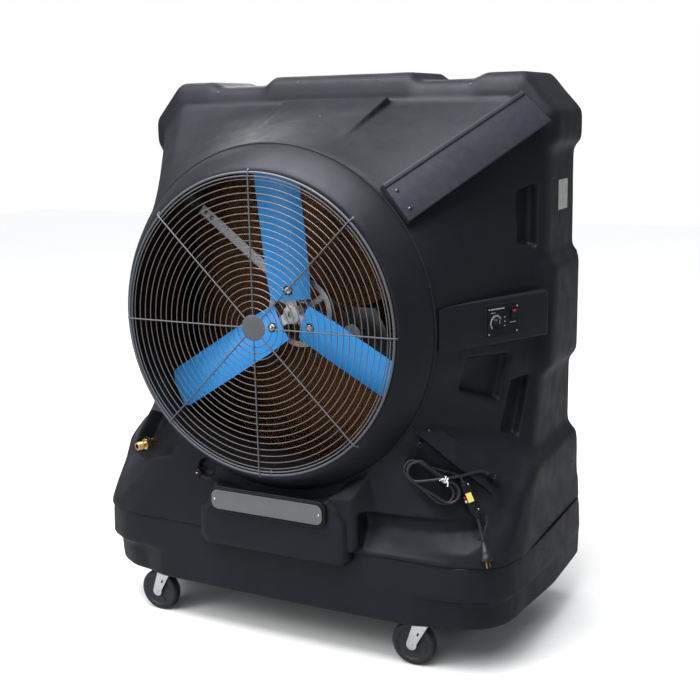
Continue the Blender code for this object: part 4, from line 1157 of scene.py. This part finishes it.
def make_front_panel():
    """The bulged cover under the drum, with its top hollowed to the collar's curve."""
    arc = [(0.6 * sin(a), -0.6 * cos(a)) for a in (radians(22 - 5.5 * i) for i in range(9))]
    outline = arc + [(-0.245, -0.59), (-0.262, -0.64), (-0.291, -0.66), (-0.293, -0.775), (-0.268, -0.8),
                     (0.268, -0.8), (0.293, -0.775), (0.293, -0.64), (0.262, -0.59)]
    middle = -0.69
    base = lofted_shape([
        [at(x * (1 - shrink / 0.29), depth, middle + (z - middle) * (1 - shrink / 0.11)) for x, z in outline]
        for depth, shrink in ((0.088, 0.0), (0.062, 0.006), (0.048, 0.016), (0.042, 0.034))])
    x, rise = KNOB_PLACE
    notch = cylinder_shape(at(x, 0.0, rise), at(x, 0.12, rise), 0.04)
    mesh = thinned(relaxed(base, [], [notch], 0.0042, 6), 0.5)
    mesh.materials.clear()
    mesh.materials.append(F["moulded"])
    for polygon in mesh.polygons:
        polygon.use_smooth = True
    settled(bpy.data.objects.new("front_cover", mesh), ("front_panel",))


def make_collar_bead():
    """The low bead moulded round the drum where the slope meets it."""
    bead = [(HOUSING_RING + 0.0045 * c, 0.1205 + 0.004 * s) for c, s in round_points(12)]
    Piece("moulded").turned(bead, along_y(at(0, 0, 0)), 180).done("collar_bead", "moulded_plastic")


def make_cowl():
    outer = smooth_route([(0.4925, 0.0085, 0), (0.499, 0.0095, 0), (0.508, 0.016, 0), (0.523, 0.033, 0),
                          (0.549, 0.07, 0), (0.566, 0.1, 0), (0.573, 0.116, 0), (0.5735, 0.1195, 0)], 0.006)
    inner = smooth_route([(0.554, 0.118, 0), (0.545, 0.089, 0), (0.531, 0.062, 0), (0.512, 0.038, 0),
                          (0.494, 0.019, 0), (0.487, 0.0125, 0), (0.4885, 0.0095, 0)], 0.006)
    outline = [(p.x, p.y) for p in outer]
    outline += [(0.5645, 0.1197), (0.561, 0.124), (0.561, 0.398), (0.5595, 0.4), (0.5555, 0.4), (0.554, 0.398)]
    outline += [(p.x, p.y) for p in inner]
    cowl = Piece("cowl")
    cowl.turned(outline[::-1], along_y(at(0, 0, 0)), 160)
    cowl.done("drum_cowl", "moulded_plastic", ("fan_shroud",), sharp=40)


# ---------------------------------------------------------------- guard, fan and drive

GUARD_RADIUS = 0.49
RING_PITCH = 0.0213
SPOKES = 8


def circle_at(radius, depth, steps=120):
    return [at(x, depth, z) for z, x in round_points(steps, radius)]


def make_guard():
    guard = Piece("wire")
    for k in range(3, 23):
        guard.wire(circle_at(RING_PITCH * k, 0.0012, 72 + 3 * k), 0.0016, 6, closed=True)
    guard.paint("guard")
    guard.wire(circle_at(GUARD_RADIUS, 0.0018, 160), 0.0042, 10, closed=True)
    guard.wire(circle_at(GUARD_RADIUS - 0.0115, -0.001, 150), 0.0024, 8, closed=True)
    bent = ((0.036, -0.0045), (0.2, -0.0035), (0.4, -0.0035), (0.482, -0.0035), (0.4955, -0.0015),
            (0.5, 0.0045))
    for i in range(SPOKES):
        out = outward(2 * pi * i / SPOKES)
        guard.wire([at(out.x * far, depth, out.z * far) for far, depth in bent], 0.0024, 8)
    disc = [(0, -0.0075), (0.022, -0.008), (0.037, -0.0072), (0.0425, -0.0058), (0.043, -0.004),
            (0.0415, -0.0028), (0, -0.0028)]
    guard.turned(disc, along_y(at(0, 0, 0)), 48)
    guard.box((0.004, 0.006, 0.02), moved(at(0.045, 0.0, -0.4795)), 0.001, 1)
    for i in range(SPOKES // 2):
        out = outward(2 * pi * (i + 0.5) / (SPOKES // 2))
        place = at(0.5015 * out.x, 0.0115, 0.5015 * out.z)
        guard.screw(place, (0.25 * out.x, -1, 0.25 * out.z), 0.0055, 0.003)
    guard.done("wire_guard", "guard_steel", ("fan_guard",))


FAN_DEPTH = 0.25
FAN_RADIUS = 0.54
BLADE_START = radians(93)
BLADE_CHORD = 0.15
BLADE_PITCH = radians(17)
BLADE_RAKE = radians(4.5)
BLADE_ROOT = 0.05


def blade_frame(angle):
    """Turns +X to point out along a blade, raked forward, with the blade's chord along Z pitched about it."""
    return spun("Y", -angle) @ spun("Z", -BLADE_RAKE) @ spun("X", BLADE_PITCH)


def two_skins(columns, levels):
    """Faces for two grids of points, one behind the other, joined round their rims."""
    row = columns + 1
    layer = row * (levels + 1)
    faces = []
    for a in (j * row + i for j in range(levels) for i in range(columns)):
        faces.append((a, a + 1, a + row + 1, a + row))
        faces.append((layer + a, layer + a + row, layer + a + row + 1, layer + a + 1))
    rim = list(range(row)) + [j * row + columns for j in range(1, levels + 1)]
    rim += [levels * row + i for i in range(columns - 1, -1, -1)] + [j * row for j in range(levels - 1, 0, -1)]
    return faces + [(a, layer + a, layer + b, b) for a, b in zip(rim, rim[1:] + rim[:1])]


def make_blade(number, angle):
    """A formed sheet blade with rounded outer corners, a camber that flattens to its edges, and its bolt."""
    sections, across_count, thick, corner = 26, 14, 0.0015, 0.008
    span = FAN_RADIUS - BLADE_ROOT
    frame_at = moved(at(0, FAN_DEPTH, 0)) @ blade_frame(angle)
    points = []
    for lift in (-thick, thick):
        for i in range(sections + 1):
            along = BLADE_ROOT + span * i / sections
            width = BLADE_CHORD / 2 * min(1.0, 0.92 + 0.4 * i / sections)
            left = max(0.0, along - (FAN_RADIUS - corner))
            if left:
                width -= corner - sqrt(max(0.0, corner**2 - left**2))
            for j in range(across_count + 1):
                across = -1 + 2 * j / across_count
                twist = 0.01 * (1 - (along - BLADE_ROOT) / span) * across
                camber = -0.01 * (1 - across**2)
                skin = lift * (1 - 0.35 * abs(across) ** 6)
                points.append((along, camber + skin + twist * 0.3, width * across))
    blade = Piece("blade")
    blade.add(points, two_skins(across_count, sections), frame_at)
    front = frame_at.to_3x3() @ Vector((0, -1, 0))
    place = frame_at @ Vector((0.086, -0.0105, 0.004)) + front * 0.0012
    washer = [(0, 0), (0.0165, 0), (0.0165, 0.0018), (0, 0.0018)]
    blade.paint("black").turned(washer, pointing(place, front), 28)
    blade.paint("bolt").bolt(place + front * 0.0018, front, 0.018, 0.0075, 0.0115)
    blade.done(f"blade_{number}", "blade_blue", (f"fan_blade_{number}",), "fan", 30)


def make_hub():
    centre = at(0, FAN_DEPTH, 0)
    hub = Piece("cast")
    outline = [(0.013, -0.012), (0.028, -0.012), (0.0315, -0.0095), (0.033, 0.0), (0.0345, 0.004),
               (0.036, 0.01), (0.036, 0.04), (0.034, 0.042), (0.013, 0.042)]
    hub.turned(outline, along_y(centre), 48)
    edge = [(0.018, 0.02), (0.05, 0.018), (0.098, 0.02), (0.107, 0.014)]
    arm = edge + [(x, -z) for x, z in edge[::-1]]
    for i in range(3):
        turn = moved(centre) @ blade_frame(BLADE_START + radians(120 * i))
        plate = turn @ moved((0, -0.0005, 0)) @ spun("X", pi / 2)
        hub.slab(arm, 0.007, plate, 0.0015, 2)
        for z in (-0.0165, 0.0, 0.0165):
            ends = ((0.026, 0.0016), (0.1, 0.0012))
            rib = [(x, 0.003, z + side * half) for x, half in ends for side in (-1, 1)]
            hub.hull([turn @ Vector(p) for p in rib + [(0.026, 0.014, z), (0.07, 0.008, z)]], 0.0005, 1)
    for i in range(6):
        out = outward(radians(60 * i + 15)) * 0.029
        hub.rod(centre + out, centre + out - Vector((0, 0.0125, 0)), 0.0035, 10)
    hub.paint("bolt").bolt(centre + Vector((0, -0.01, 0.02)), (0, -0.3, 1), 0.009, 0.006)
    hub.done("hub_casting", "cast_alloy", ("fan_hub",), "fan")


def bevelled_node(name, finish, width):
    """Keeps a CAD node as it is and gives it a finish and softened edges."""
    node = frame["nodes"][name]
    node.data.materials.clear()
    node.data.materials.append(F[finish])
    for polygon in node.data.polygons:
        polygon.material_index = 0
        polygon.use_smooth = True
    node.data.set_sharp_from_angle(angle=radians(32))
    if width:
        node.modifiers.new("weld", "WELD").merge_threshold = 0.00002
        soft = node.modifiers.new("edges", "BEVEL")
        soft.width = width
        soft.segments = 2
        soft.limit_method = "ANGLE"
        soft.angle_limit = radians(40)
        soft.harden_normals = False


KEPT_NODES = {
    "fan_shaft": ("shaft", 0.0), "motor_shaft": ("shaft", 0.0), "shaft_bearing": ("cast", 0.0008),
    "driven_pulley": ("cast", 0.0), "motor_pulley": ("cast", 0.0), "drive_belt": ("belt", 0.001),
    "motor_bracket": ("motor", 0.0006), "pad_tray": ("frame", 0.001), "distribution_pipe": ("pipe", 0.0),
    "riser_pipe": ("pipe", 0.0), "pump": ("black", 0.002), "float_valve": ("brass", 0.001),
    "float_arm": ("float", 0.0), "valve_stem": ("brass", 0.0),
}


def make_drive():
    middle = box_of("support_bar")[2]
    tilt = radians(142)
    along = Vector((cos(tilt), 0, sin(tilt)))
    turn = moved(middle) @ spun("Y", -tilt)
    bar = Piece("guard_light")
    half = 0.552
    for place, deep, tall in (((0, 0, -0.0165), 0.0055, 0.003), ((0, 0, 0.0165), 0.0055, 0.003),
                              ((0, 0.0012, 0), 0.003, 0.034)):
        bar.box((2 * half - 0.002, deep, tall), turn @ moved(place), 0.0008, 2)
    bar.paint("bolt")
    for share in (-0.95, -0.9, 0.9, 0.95):
        bar.bolt(middle + along * half * share + Vector((0, -0.0008, 0)), (0, -1, 0), 0.01, 0.005, 0.008)
    bar.done("bearing_bar", "zinc_steel", ("support_bar",))

    low, high, centre = box_of("motor")
    centre.y = low.y
    length, radius = high.y - low.y, (high.x - low.x) / 2
    motor = Piece("motor")
    outline = [(0, 0), (radius * 0.45, 0), (radius * 0.5, 0.002), (radius * 0.93, 0.004), (radius, 0.014),
               (radius, length * 0.16), (radius * 0.955, length * 0.18), (radius * 0.955, length * 0.8),
               (radius, length * 0.82), (radius, length - 0.014), (radius * 0.9, length - 0.003),
               (radius * 0.6, length), (0, length)]
    motor.turned(outline, along_y(centre), 56)
    for i in range(36):
        out = outward(pi / 18 * i)
        place = pointing(centre + out * radius * 0.965 + Vector((0, length * 0.49, 0)), out, (0, 1, 0))
        motor.box((0.0022, length * 0.6, radius * 0.06), place, 0.0005, 1)
    motor.paint("bolt")
    for i in range(4):
        place = centre + outward(pi / 2 * (i + 0.5)) * radius * 0.8 + Vector((0, length - 0.004, 0))
        motor.bolt(place, (0, 1, 0), 0.009, 0.004)
    motor.done("motor_body", "motor_grey", ("motor",))
    for name, (finish, width) in KEPT_NODES.items():
        bevelled_node(name, finish, width)


# ---------------------------------------------------------------- pads and rear frame


def make_pads():
    """Each pad's two faces are fluted: rows of slanted crests, as the ends of its glued sheets."""
    columns, levels = 64, 72
    for name in ("pad_left", "pad_middle", "pad_right"):
        low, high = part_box(name)
        points = []
        for side, depth in ((-1, low.y), (1, high.y)):
            for j in range(levels + 1):
                for i in range(columns + 1):
                    flute = (0.0035 if (i + j) % 2 else 0.0) + 0.0012 * sin(j * 1.7 + i * 0.9)
                    if min(i, columns - i, j, levels - j) == 0:
                        flute = 0.0
                    points.append((low.x + (high.x - low.x) * i / columns, depth - side * max(0.0, flute),
                                   low.z + (high.z - low.z) * j / levels))
        pad = Piece("pad")
        pad.add(points, two_skins(columns, levels))
        pad.done(f"wet_{name}", "pad", (name,), sharp=20)


def make_rear_frame():
    """The frame that holds the pads: rails, mullions, a wire screen in each window, and its screws."""
    low, high, centre = box_of("pad_frame")
    depth, thick = centre.y, high.y - low.y
    floor_z, top_z, half = FAN_HEIGHT - 0.69, FAN_HEIGHT + 0.62, 0.455 / 2
    middle_z, tall = (floor_z + top_z) / 2, top_z - floor_z
    rear = Piece("frame")
    rails = [(low.x, high.x, low.z, floor_z), (low.x + 0.052, high.x - 0.052, top_z, high.z)]
    for x0, x1, z0, z1 in rails:
        place = moved(((x0 + x1) / 2, depth, (z0 + z1) / 2))
        rear.box((x1 - x0, thick, z1 - z0), place, 0.003, 3)
    for side in (-1, 1):
        corner = [(high.x, high.z - 0.059), (high.x - 0.052, high.z), (high.x - 0.06, top_z), (high.x, top_z)]
        rear.hull([Vector((side * x, y, z)) for x, z in corner for y in (low.y, high.y)], 0.003, 2)
    middles = [box_of(name)[2].x for name in ("pad_left", "pad_middle", "pad_right")]
    edges = [low.x] + [m + s * half for m in middles for s in (-1, 1)] + [high.x]
    for x0, x1 in zip(edges[::2], edges[1::2]):
        x, wide = (x0 + x1) / 2, x1 - x0
        rear.box((wide, thick, tall + 0.004), moved((x, depth, middle_z)), 0.002, 2)
        rib = moved((x, high.y - 0.001, middle_z))
        rear.box((wide * 0.35, 0.002, tall - 0.1), rib, 0.0009, 2)
    for m in middles:
        for i in range(1, 9):
            z = floor_z + tall * i / 9
            rear.wire([(m + s * (half + 0.003), depth + 0.004, z) for s in (-1, 1)], 0.0018, 6)
        for i in (-1, 0, 1):
            x = m + half / 2 * i
            rear.wire([(x, depth + 0.0005, z) for z in (floor_z - 0.003, top_z + 0.003)], 0.0018, 6)
    rear.paint("bolt")
    for x in (-0.7, -0.25, 0.25, 0.7):
        for z in (low.z + 0.022, high.z - 0.03):
            if abs(x) < 0.65 or z < FAN_HEIGHT:
                rear.screw(Vector((x, high.y, z)), (0, 1, 0), 0.006, 0.003)
    rear.done("pad_retainer", "black_plastic", ("pad_frame",))


# ---------------------------------------------------------------- badge, brace, controls, water fittings


def make_badge():
    upright = spun("X", pi / 2)
    low, high, middle = box_of("nameplate_bezel")
    badge_low, badge_high, centre = box_of("nameplate")
    bezel = Piece("black")
    half = (high - low) / 2
    place = moved(middle) @ upright
    bezel.slab(rounded_bar(half.x, half.z, 0.03, 8), half.y * 2, place, 0.004, 4)
    ring = rounded_bar(half.x - 0.0065, half.z - 0.0075, 0.026, 8)
    bezel.wire([(centre.x + x, low.y - 0.0006, centre.z + z) for x, z in ring], 0.0024, 8, closed=True)
    bezel.done("badge_bezel", "black_plastic", ("nameplate_bezel",))
    badge = Piece("plate")
    half = (badge_high - badge_low) / 2
    badge.slab(rounded_bar(half.x, half.z, 0.024, 8), half.y * 2, moved(centre) @ upright, 0.001, 2)
    badge.paint("bolt")
    for side in (-1, 1):
        place = Vector((side * (half.x - 0.012), badge_low.y, centre.z))
        badge.turned([(0, 0.0022), (0.0022, 0.0018), (0.0036, 0.0006), (0.004, -0.0005), (0, -0.0005)],
                     pointing(place, (0, -1, 0)), 18)
    badge.done("blank_badge", "plate_silver", ("nameplate",))


def make_brace():
    """The flat brace from the collar to the corner, with an upstand along its upper edge and two screws."""
    inner = [at(0.384, 0.12, 0.432), at(0.473, 0.12, 0.322)]
    outer = [at(0.68, 0.58, 0.71), at(0.775, 0.6, 0.615)]
    normal = (inner[1] - inner[0]).cross(outer[0] - inner[0]).normalized()
    if normal.y > 0:
        normal = -normal
    along = (outer[0] - inner[0]).normalized()
    inner = [p + along * 0.012 for p in inner]
    # Its finish is the housing plastic painted lighter, standing in for the light that falls on the brace.
    brace = Piece("brace")
    brace.hull([c + normal * lift for c in inner + outer for lift in (0.014, 0.026)], 0.004, 3)
    step = [end[0].lerp(end[1], share) for end in (inner, outer) for share in (0.02, 0.12)]
    brace.hull([c + normal * lift for c in step for lift in (0.02, 0.03)], 0.0025, 3)
    toe = ((-0.004, 0), (0.02, 0), (0.02, 0.03))
    brace.hull([c + normal * lift + along * on for c in inner for lift, on in toe], 0.002, 2)
    brace.paint("dark_screw")
    for share in (0.3, 0.78):
        brace.screw(inner[0].lerp(inner[1], share) + along * 0.028 + normal * 0.026, normal, 0.0065, 0.0035)
    brace.done("corner_brace", "moulded_plastic", ("upper_brace",))


PANEL_MIDDLE = 0.2705
KNOB_MIDDLE = (0.238, -0.002)
SWITCH_PLACE = (0.313, 0.02)


def control_face():
    start, end = at(0.58, 0.124, 0.005), at(0.8, 0.55, 0.005)
    along = (end - start).normalized()
    return start, along, along.cross(Vector((0, 0, 1))).normalized()


def facing(distance, lift, out):
    """A matrix on the control face: its X runs along the face, its Y is up, its Z points out."""
    start, along, normal = control_face()
    place = start + along * distance + Vector((0, 0, lift)) + normal * out
    return moved(place) @ axes(along, Vector((0, 0, 1)), normal)


def make_control_plate():
    """The black plate, with a window for the switch, dial marks, three lamps and its screws."""
    plate = Piece("control")
    left, right, bottom, top = PANEL_MIDDLE - 0.068, PANEL_MIDDLE + 0.068, -0.045, 0.049
    x, rise = SWITCH_PLACE
    a, b, c, d = x - 0.0135, x + 0.0135, rise - 0.0185, rise + 0.0185
    lip = 0.0016

    def cover(x0, x1, z0, z1, grow, thick, out, bevel):
        place = facing((x0 + x1) / 2, (z0 + z1) / 2, out)
        plate.box((x1 - x0 + grow, z1 - z0 + grow, thick), place, bevel, 1)

    for sides in ((left, a, bottom, top), (b, right, bottom, top), (a, b, bottom, c), (a, b, d, top)):
        cover(*sides, 0.0002, 0.0038, 0.0026, 0)
    for sides in ((a, b, c, c + lip), (a, b, d - lip, d), (a, a + lip, c, d), (b - lip, b, c, d)):
        cover(*sides, 0, 0.0068, 0.003, 0.0005)
    plate.paint("mark")
    out = 0.0047
    for x, z, wide, tall in ((0.245, 0.0425, 0.06, 0.0012), (0.245, 0.0405, 0.06, 0.0012),
                             (0.313, -0.008, 0.026, 0.0014), (0.226, 0.03, 0.018, 0.0014)):
        plate.box((wide, tall, 0.0004), facing(x, z, out))
    dial = facing(*KNOB_MIDDLE, out)
    for i in range(19):
        place = dial @ spun("Z", radians(135 - 12.5 * i)) @ moved((0, 0.0235, 0))
        plate.box((0.0016, 0.0028 if i % 3 else 0.0052, 0.0004), place)
    plate.wire([dial @ (outward(radians(d)).xzy * 0.0202) for d in range(-135, 91, 9)], 0.0007, 6)
    for z in (0.012, -0.002, -0.016):
        lamp = [(0, 0.0003), (0.0018, 0.0003), (0.0018, -0.0003), (0, -0.0003)]
        plate.turned(lamp, facing(0.277, z, out), 12)
    plate.paint("bolt")
    for x in (left + 0.007, right - 0.007):
        for z in (bottom + 0.007, top - 0.007):
            plate.screw(facing(x, z, 0.0045).translation, control_face()[2], 0.0028, 0.0014)
    plate.done("switch_plate", "black_plastic", ("control_plate",))


def make_controls():
    housing = Piece("moulded")
    plan = [(0.58, 0.124), (0.8, 0.55), (0.766, 0.594), (0.5835, 0.132)]
    housing.hull([at(x, y, z) for x, y in plan for z in (-0.07, 0.08)], 0.009, 4)
    housing.box((0.154, 0.112, 0.004), facing(PANEL_MIDDLE, 0.002, 0.0), 0.0018, 3)
    housing.done("control_housing", "moulded_plastic", ("control_box",))
    make_control_plate()

    dial = Piece("black")
    outline = [(0, 0), (0.0165, 0), (0.0168, 0.0015), (0.0158, 0.003), (0.015, 0.0125), (0.0138, 0.0142),
               (0, 0.0146)]
    seat = facing(*KNOB_MIDDLE, 0.005)
    dial.turned(outline, seat, 40)
    for i in range(24):
        place = seat @ spun("Z", pi / 12 * i) @ moved((0.0153, 0, 0.0075))
        dial.box((0.0012, 0.0016, 0.009), place, 0.0003, 1)
    dial.box((0.004, 0.026, 0.0035), seat @ moved((0, 0, 0.0152)), 0.0012, 2)
    dial.paint("mark").box((0.0013, 0.012, 0.0004), seat @ moved((0, 0.006, 0.017)))
    dial.done("speed_dial", "black_plastic", ("speed_knob",), "speed_control")

    rocked = facing(*SWITCH_PLACE, 0.0078) @ spun("X", radians(8))
    rocker = Piece("black")
    section = [(-0.0148, -0.0022), (-0.0148, 0.0016), (-0.01, 0.003), (0.0, 0.0012), (0.01, 0.003),
               (0.0148, 0.0016), (0.0148, -0.0022)]
    points = [(x, y * trim, z * trim) for x, trim in ((-0.0098, 0.94), (-0.009, 1), (0.009, 1), (0.0098, 0.94))
              for y, z in section]
    rings = [range(i, i + 7) for i in range(0, 28, 7)]
    rocker.add(points, [*bands(rings), rings[0][::-1], rings[-1]], rocked)
    rocker.paint("red").box((0.015, 0.0062, 0.0014), rocked @ moved((0, 0.0104, 0.0026)), 0.0005, 1)
    rocker.done("power_rocker", "switch_red", ("power_switch",), "switch")


def make_water_fittings():
    turn = spun("Z", radians(-17)) @ spun("X", -pi / 2)
    matrix = moved(at(-0.564, 0.162, -0.496)) @ turn
    fitting = Piece("brass")
    outline = [(0.0088, -0.057), (0.013, -0.057), (0.0142, -0.056)]
    for base in (-0.0555 + i * 0.0024 for i in range(8)):
        outline += [(0.0135, base), (0.0147, base + 0.001), (0.0147, base + 0.0014), (0.0135, base + 0.0024)]
    outline += [(0.0122, -0.0345), (0.0115, -0.033), (0.0115, -0.024), (0.015, -0.0235), (0.015, 0.03),
                (0.0088, 0.03)]
    fitting.turned(outline, matrix, 40)
    fitting.slab(round_points(6, 0.0205), 0.0115, matrix @ moved((0, 0, -0.0172)), 0.0016, 2)
    fitting.paint("black").turned([(0.015, -0.0112), (0.024, -0.0112), (0.025, -0.0102), (0.025, -0.0082),
                                   (0.015, -0.0078)], matrix, 32)
    fitting.done("hose_fitting", "brass", ("hose_inlet",))

    low, high, centre = box_of("valve_knob")
    centre.y = high.y
    seat = pointing(centre, (0, -1, 0))
    knob = Piece("black")
    length, radius = high.y - low.y, (high.x - low.x) / 2
    knob.turned([(0, 0), (radius * 0.62, 0), (radius * 0.7, 0.003), (radius * 0.8, 0.009),
                 (radius * 0.86, 0.011), (radius * 0.88, length - 0.003), (radius * 0.72, length - 0.0006),
                 (0, length)], seat, 28)
    for x, y in round_points(10, radius * 0.85):
        knob.rod(seat @ Vector((x, y, 0.01)), seat @ Vector((x, y, length - 0.002)), radius * 0.15, 8)
    top = seat @ moved((0, 0, length - 0.0015)) @ spun("Z", radians(20))
    knob.box((0.004, radius * 1.9, 0.006), top, 0.0015, 2)
    knob.paint("bolt").screw(seat @ Vector((0, 0, length + 0.001)), (0, -1, 0), 0.0032, 0.0014)
    knob.done("drain_knob", "black_plastic", ("valve_knob",), "valve")


# ---------------------------------------------------------------- casters


def make_caster(row, side):
    name = f"caster_{row}_{side}"
    low, high, axle = box_of(f"{name}_wheel")
    plate_low, plate_high, swivel = box_of(f"{name}_plate")
    foot = moved((swivel.x, swivel.y, 0))

    plate = Piece("zinc")
    size = plate_high - plate_low
    plate.slab(rounded_bar(size.x / 2, size.y / 2, 0.006, 4), size.z, moved(swivel), 0.0008, 2)
    plate.paint("bolt")
    for x in (-0.037, 0.037):
        for y in (-0.026, 0.026):
            plate.bolt((swivel.x + x, swivel.y + y, plate_low.z), (0, 0, -1), 0.012, 0.005)
    plate.done(f"{name}_top_plate", "zinc_steel", (f"{name}_plate",))

    fork = Piece("zinc")
    race = [(0, 0.1605), (0.03, 0.16), (0.0345, 0.1625), (0.037, 0.167), (0.037, 0.172), (0.034, 0.1745),
            (0.035, 0.1765), (0.033, 0.1815), (0.027, 0.185), (0.025, 0.188), (0, 0.188)]
    fork.turned(race, foot, 48)
    leg = [(0.0255, 0.164), (-0.031, 0.164)]
    for a in (radians(168 + 17 * i) for i in range(13)):
        leg.append((axle.x - swivel.x + 0.0185 * cos(a), axle.z + 0.0185 * sin(a)))
    for s in (-1, 1):
        fork.slab(leg, 0.0034, foot @ moved((0, s * 0.0265, 0)) @ spun("X", pi / 2),
                  0.001, 2)
        shoulder = ((0.024, 0.018, 0.166), (-0.03, 0.018, 0.166), (0.024, 0.0278, 0.16), (-0.03, 0.0278, 0.16),
                    (0.022, 0.025, 0.15), (-0.028, 0.025, 0.15), (0.022, 0.022, 0.16), (-0.028, 0.022, 0.16))
        fork.hull([foot @ Vector((x, s * y, z)) for x, y, z in shoulder], 0.0015, 2)
        slot = foot @ moved((-0.016, s * 0.0283, 0.118)) @ spun("Y", 0.42)
        fork.paint("black").box((0.0065, 0.001, 0.013), slot, 0.0004, 1).paint("zinc")
    fork.paint("bolt")
    fork.rod(axle - Vector((0, 0.0275, 0)), axle + Vector((0, 0.0275, 0)), 0.0058, 20)
    for s in (-1, 1):
        fork.bolt(axle + Vector((0, s * 0.0282, 0)), (0, s, 0), 0.0125, 0.0032)
    fork.done(f"{name}_swivel_fork", "zinc_steel", (f"{name}_fork",), f"{name}_swivel")

    wheel = Piece("tyre")
    half, radius = (high.y - low.y) / 2, (high.z - low.z) / 2
    cheek = [(0.0072, 0), (0.015, 0), (0.0165, 0.001), (0.0185, 0.0045), (0.05, 0.0045), (0.053, 0.003),
             (0.0545, 0.0012), (0.056, 0.002), (0.0575, 0.001), (0.067, 0.0008), (0.0715, 0.003),
             (radius - 0.0012, 0.0075), (radius, 0.012)]
    outline = [(r, sunk - half) for r, sunk in cheek] + [(r, half - sunk) for r, sunk in cheek[::-1]]
    wheel.turned(outline, along_y(axle), 72)
    for s in (-1, 1):
        for i in range(5):
            out = outward(2 * pi * i / 5)
            place = pointing(axle + out * 0.034 + Vector((0, s * (half - 0.0042), 0)), out, (0, 1, 0))
            wheel.box((0.0035, 0.002, 0.029), place, 0.0008, 1)
    wheel.done(f"{name}_tyred_wheel", "wheel_rubber", (f"{name}_wheel",), f"{name}_roller")


# ---------------------------------------------------------------- small things on the mouldings


def make_small_parts(skin):
    """Screws and a blank label, set on the housing by casting a line to it."""

    def hits(starts, toward):
        found = [skin.ray_cast(at(*start), Vector(toward)) for start in starts]
        return [hit[:2] for hit in found if hit[0]]

    front = [(side * x, -0.5, rise) for side in (-1, 1) for x, rise in ((0.16, 0.772), (0.5, 0.748))]
    places = hits(front + [(0.04, -0.5, 0.655), (0.535, -0.5, -0.325)], (0, 1, 0))
    for side in (-1, 1):
        down = ((0.68, 0.5), (0.68, 0.44), (0.86, 0.6), (0.86, -0.6), (0.86, 0.0))
        places += hits([(side * 1.4, depth, rise) for depth, rise in down], (-side, 0, 0))
    places += hits([(x, 0.86, 1.4) for x in (-0.6, -0.2, 0.2, 0.6)], (0, 0, -1))
    fixings = Piece("dark_screw")
    for place, normal in places:
        fixings.screw(place - normal * 0.0005, normal, 0.0055, 0.003)
    fixings.done("housing_screws", "zinc_steel")

    label = Piece("label")
    for place, normal in hits([(1.4, 0.8, 0.376)], (-1, 0, 0)):
        label.box((0.11, 0.102, 0.0008), pointing(place + normal * 0.0006, normal), 0.0003, 1)
    label.done("blank_label")


# ---------------------------------------------------------------- all of it

make_camera()
make_studio()
make_floor(floor_finish())
CORD_LENGTH = make_cord()
SKIN = make_housing()
make_tank()
make_front_panel()
make_collar_bead()
make_cowl()
make_guard()
for number in range(3):
    make_blade(number + 1, BLADE_START + radians(120 * number))
make_hub()
make_drive()
make_pads()
make_rear_frame()
make_badge()
make_brace()
make_controls()
make_water_fittings()
for caster_row in ("front", "rear"):
    for caster_side in ("left", "right"):
        make_caster(caster_row, caster_side)
make_small_parts(SKIN)
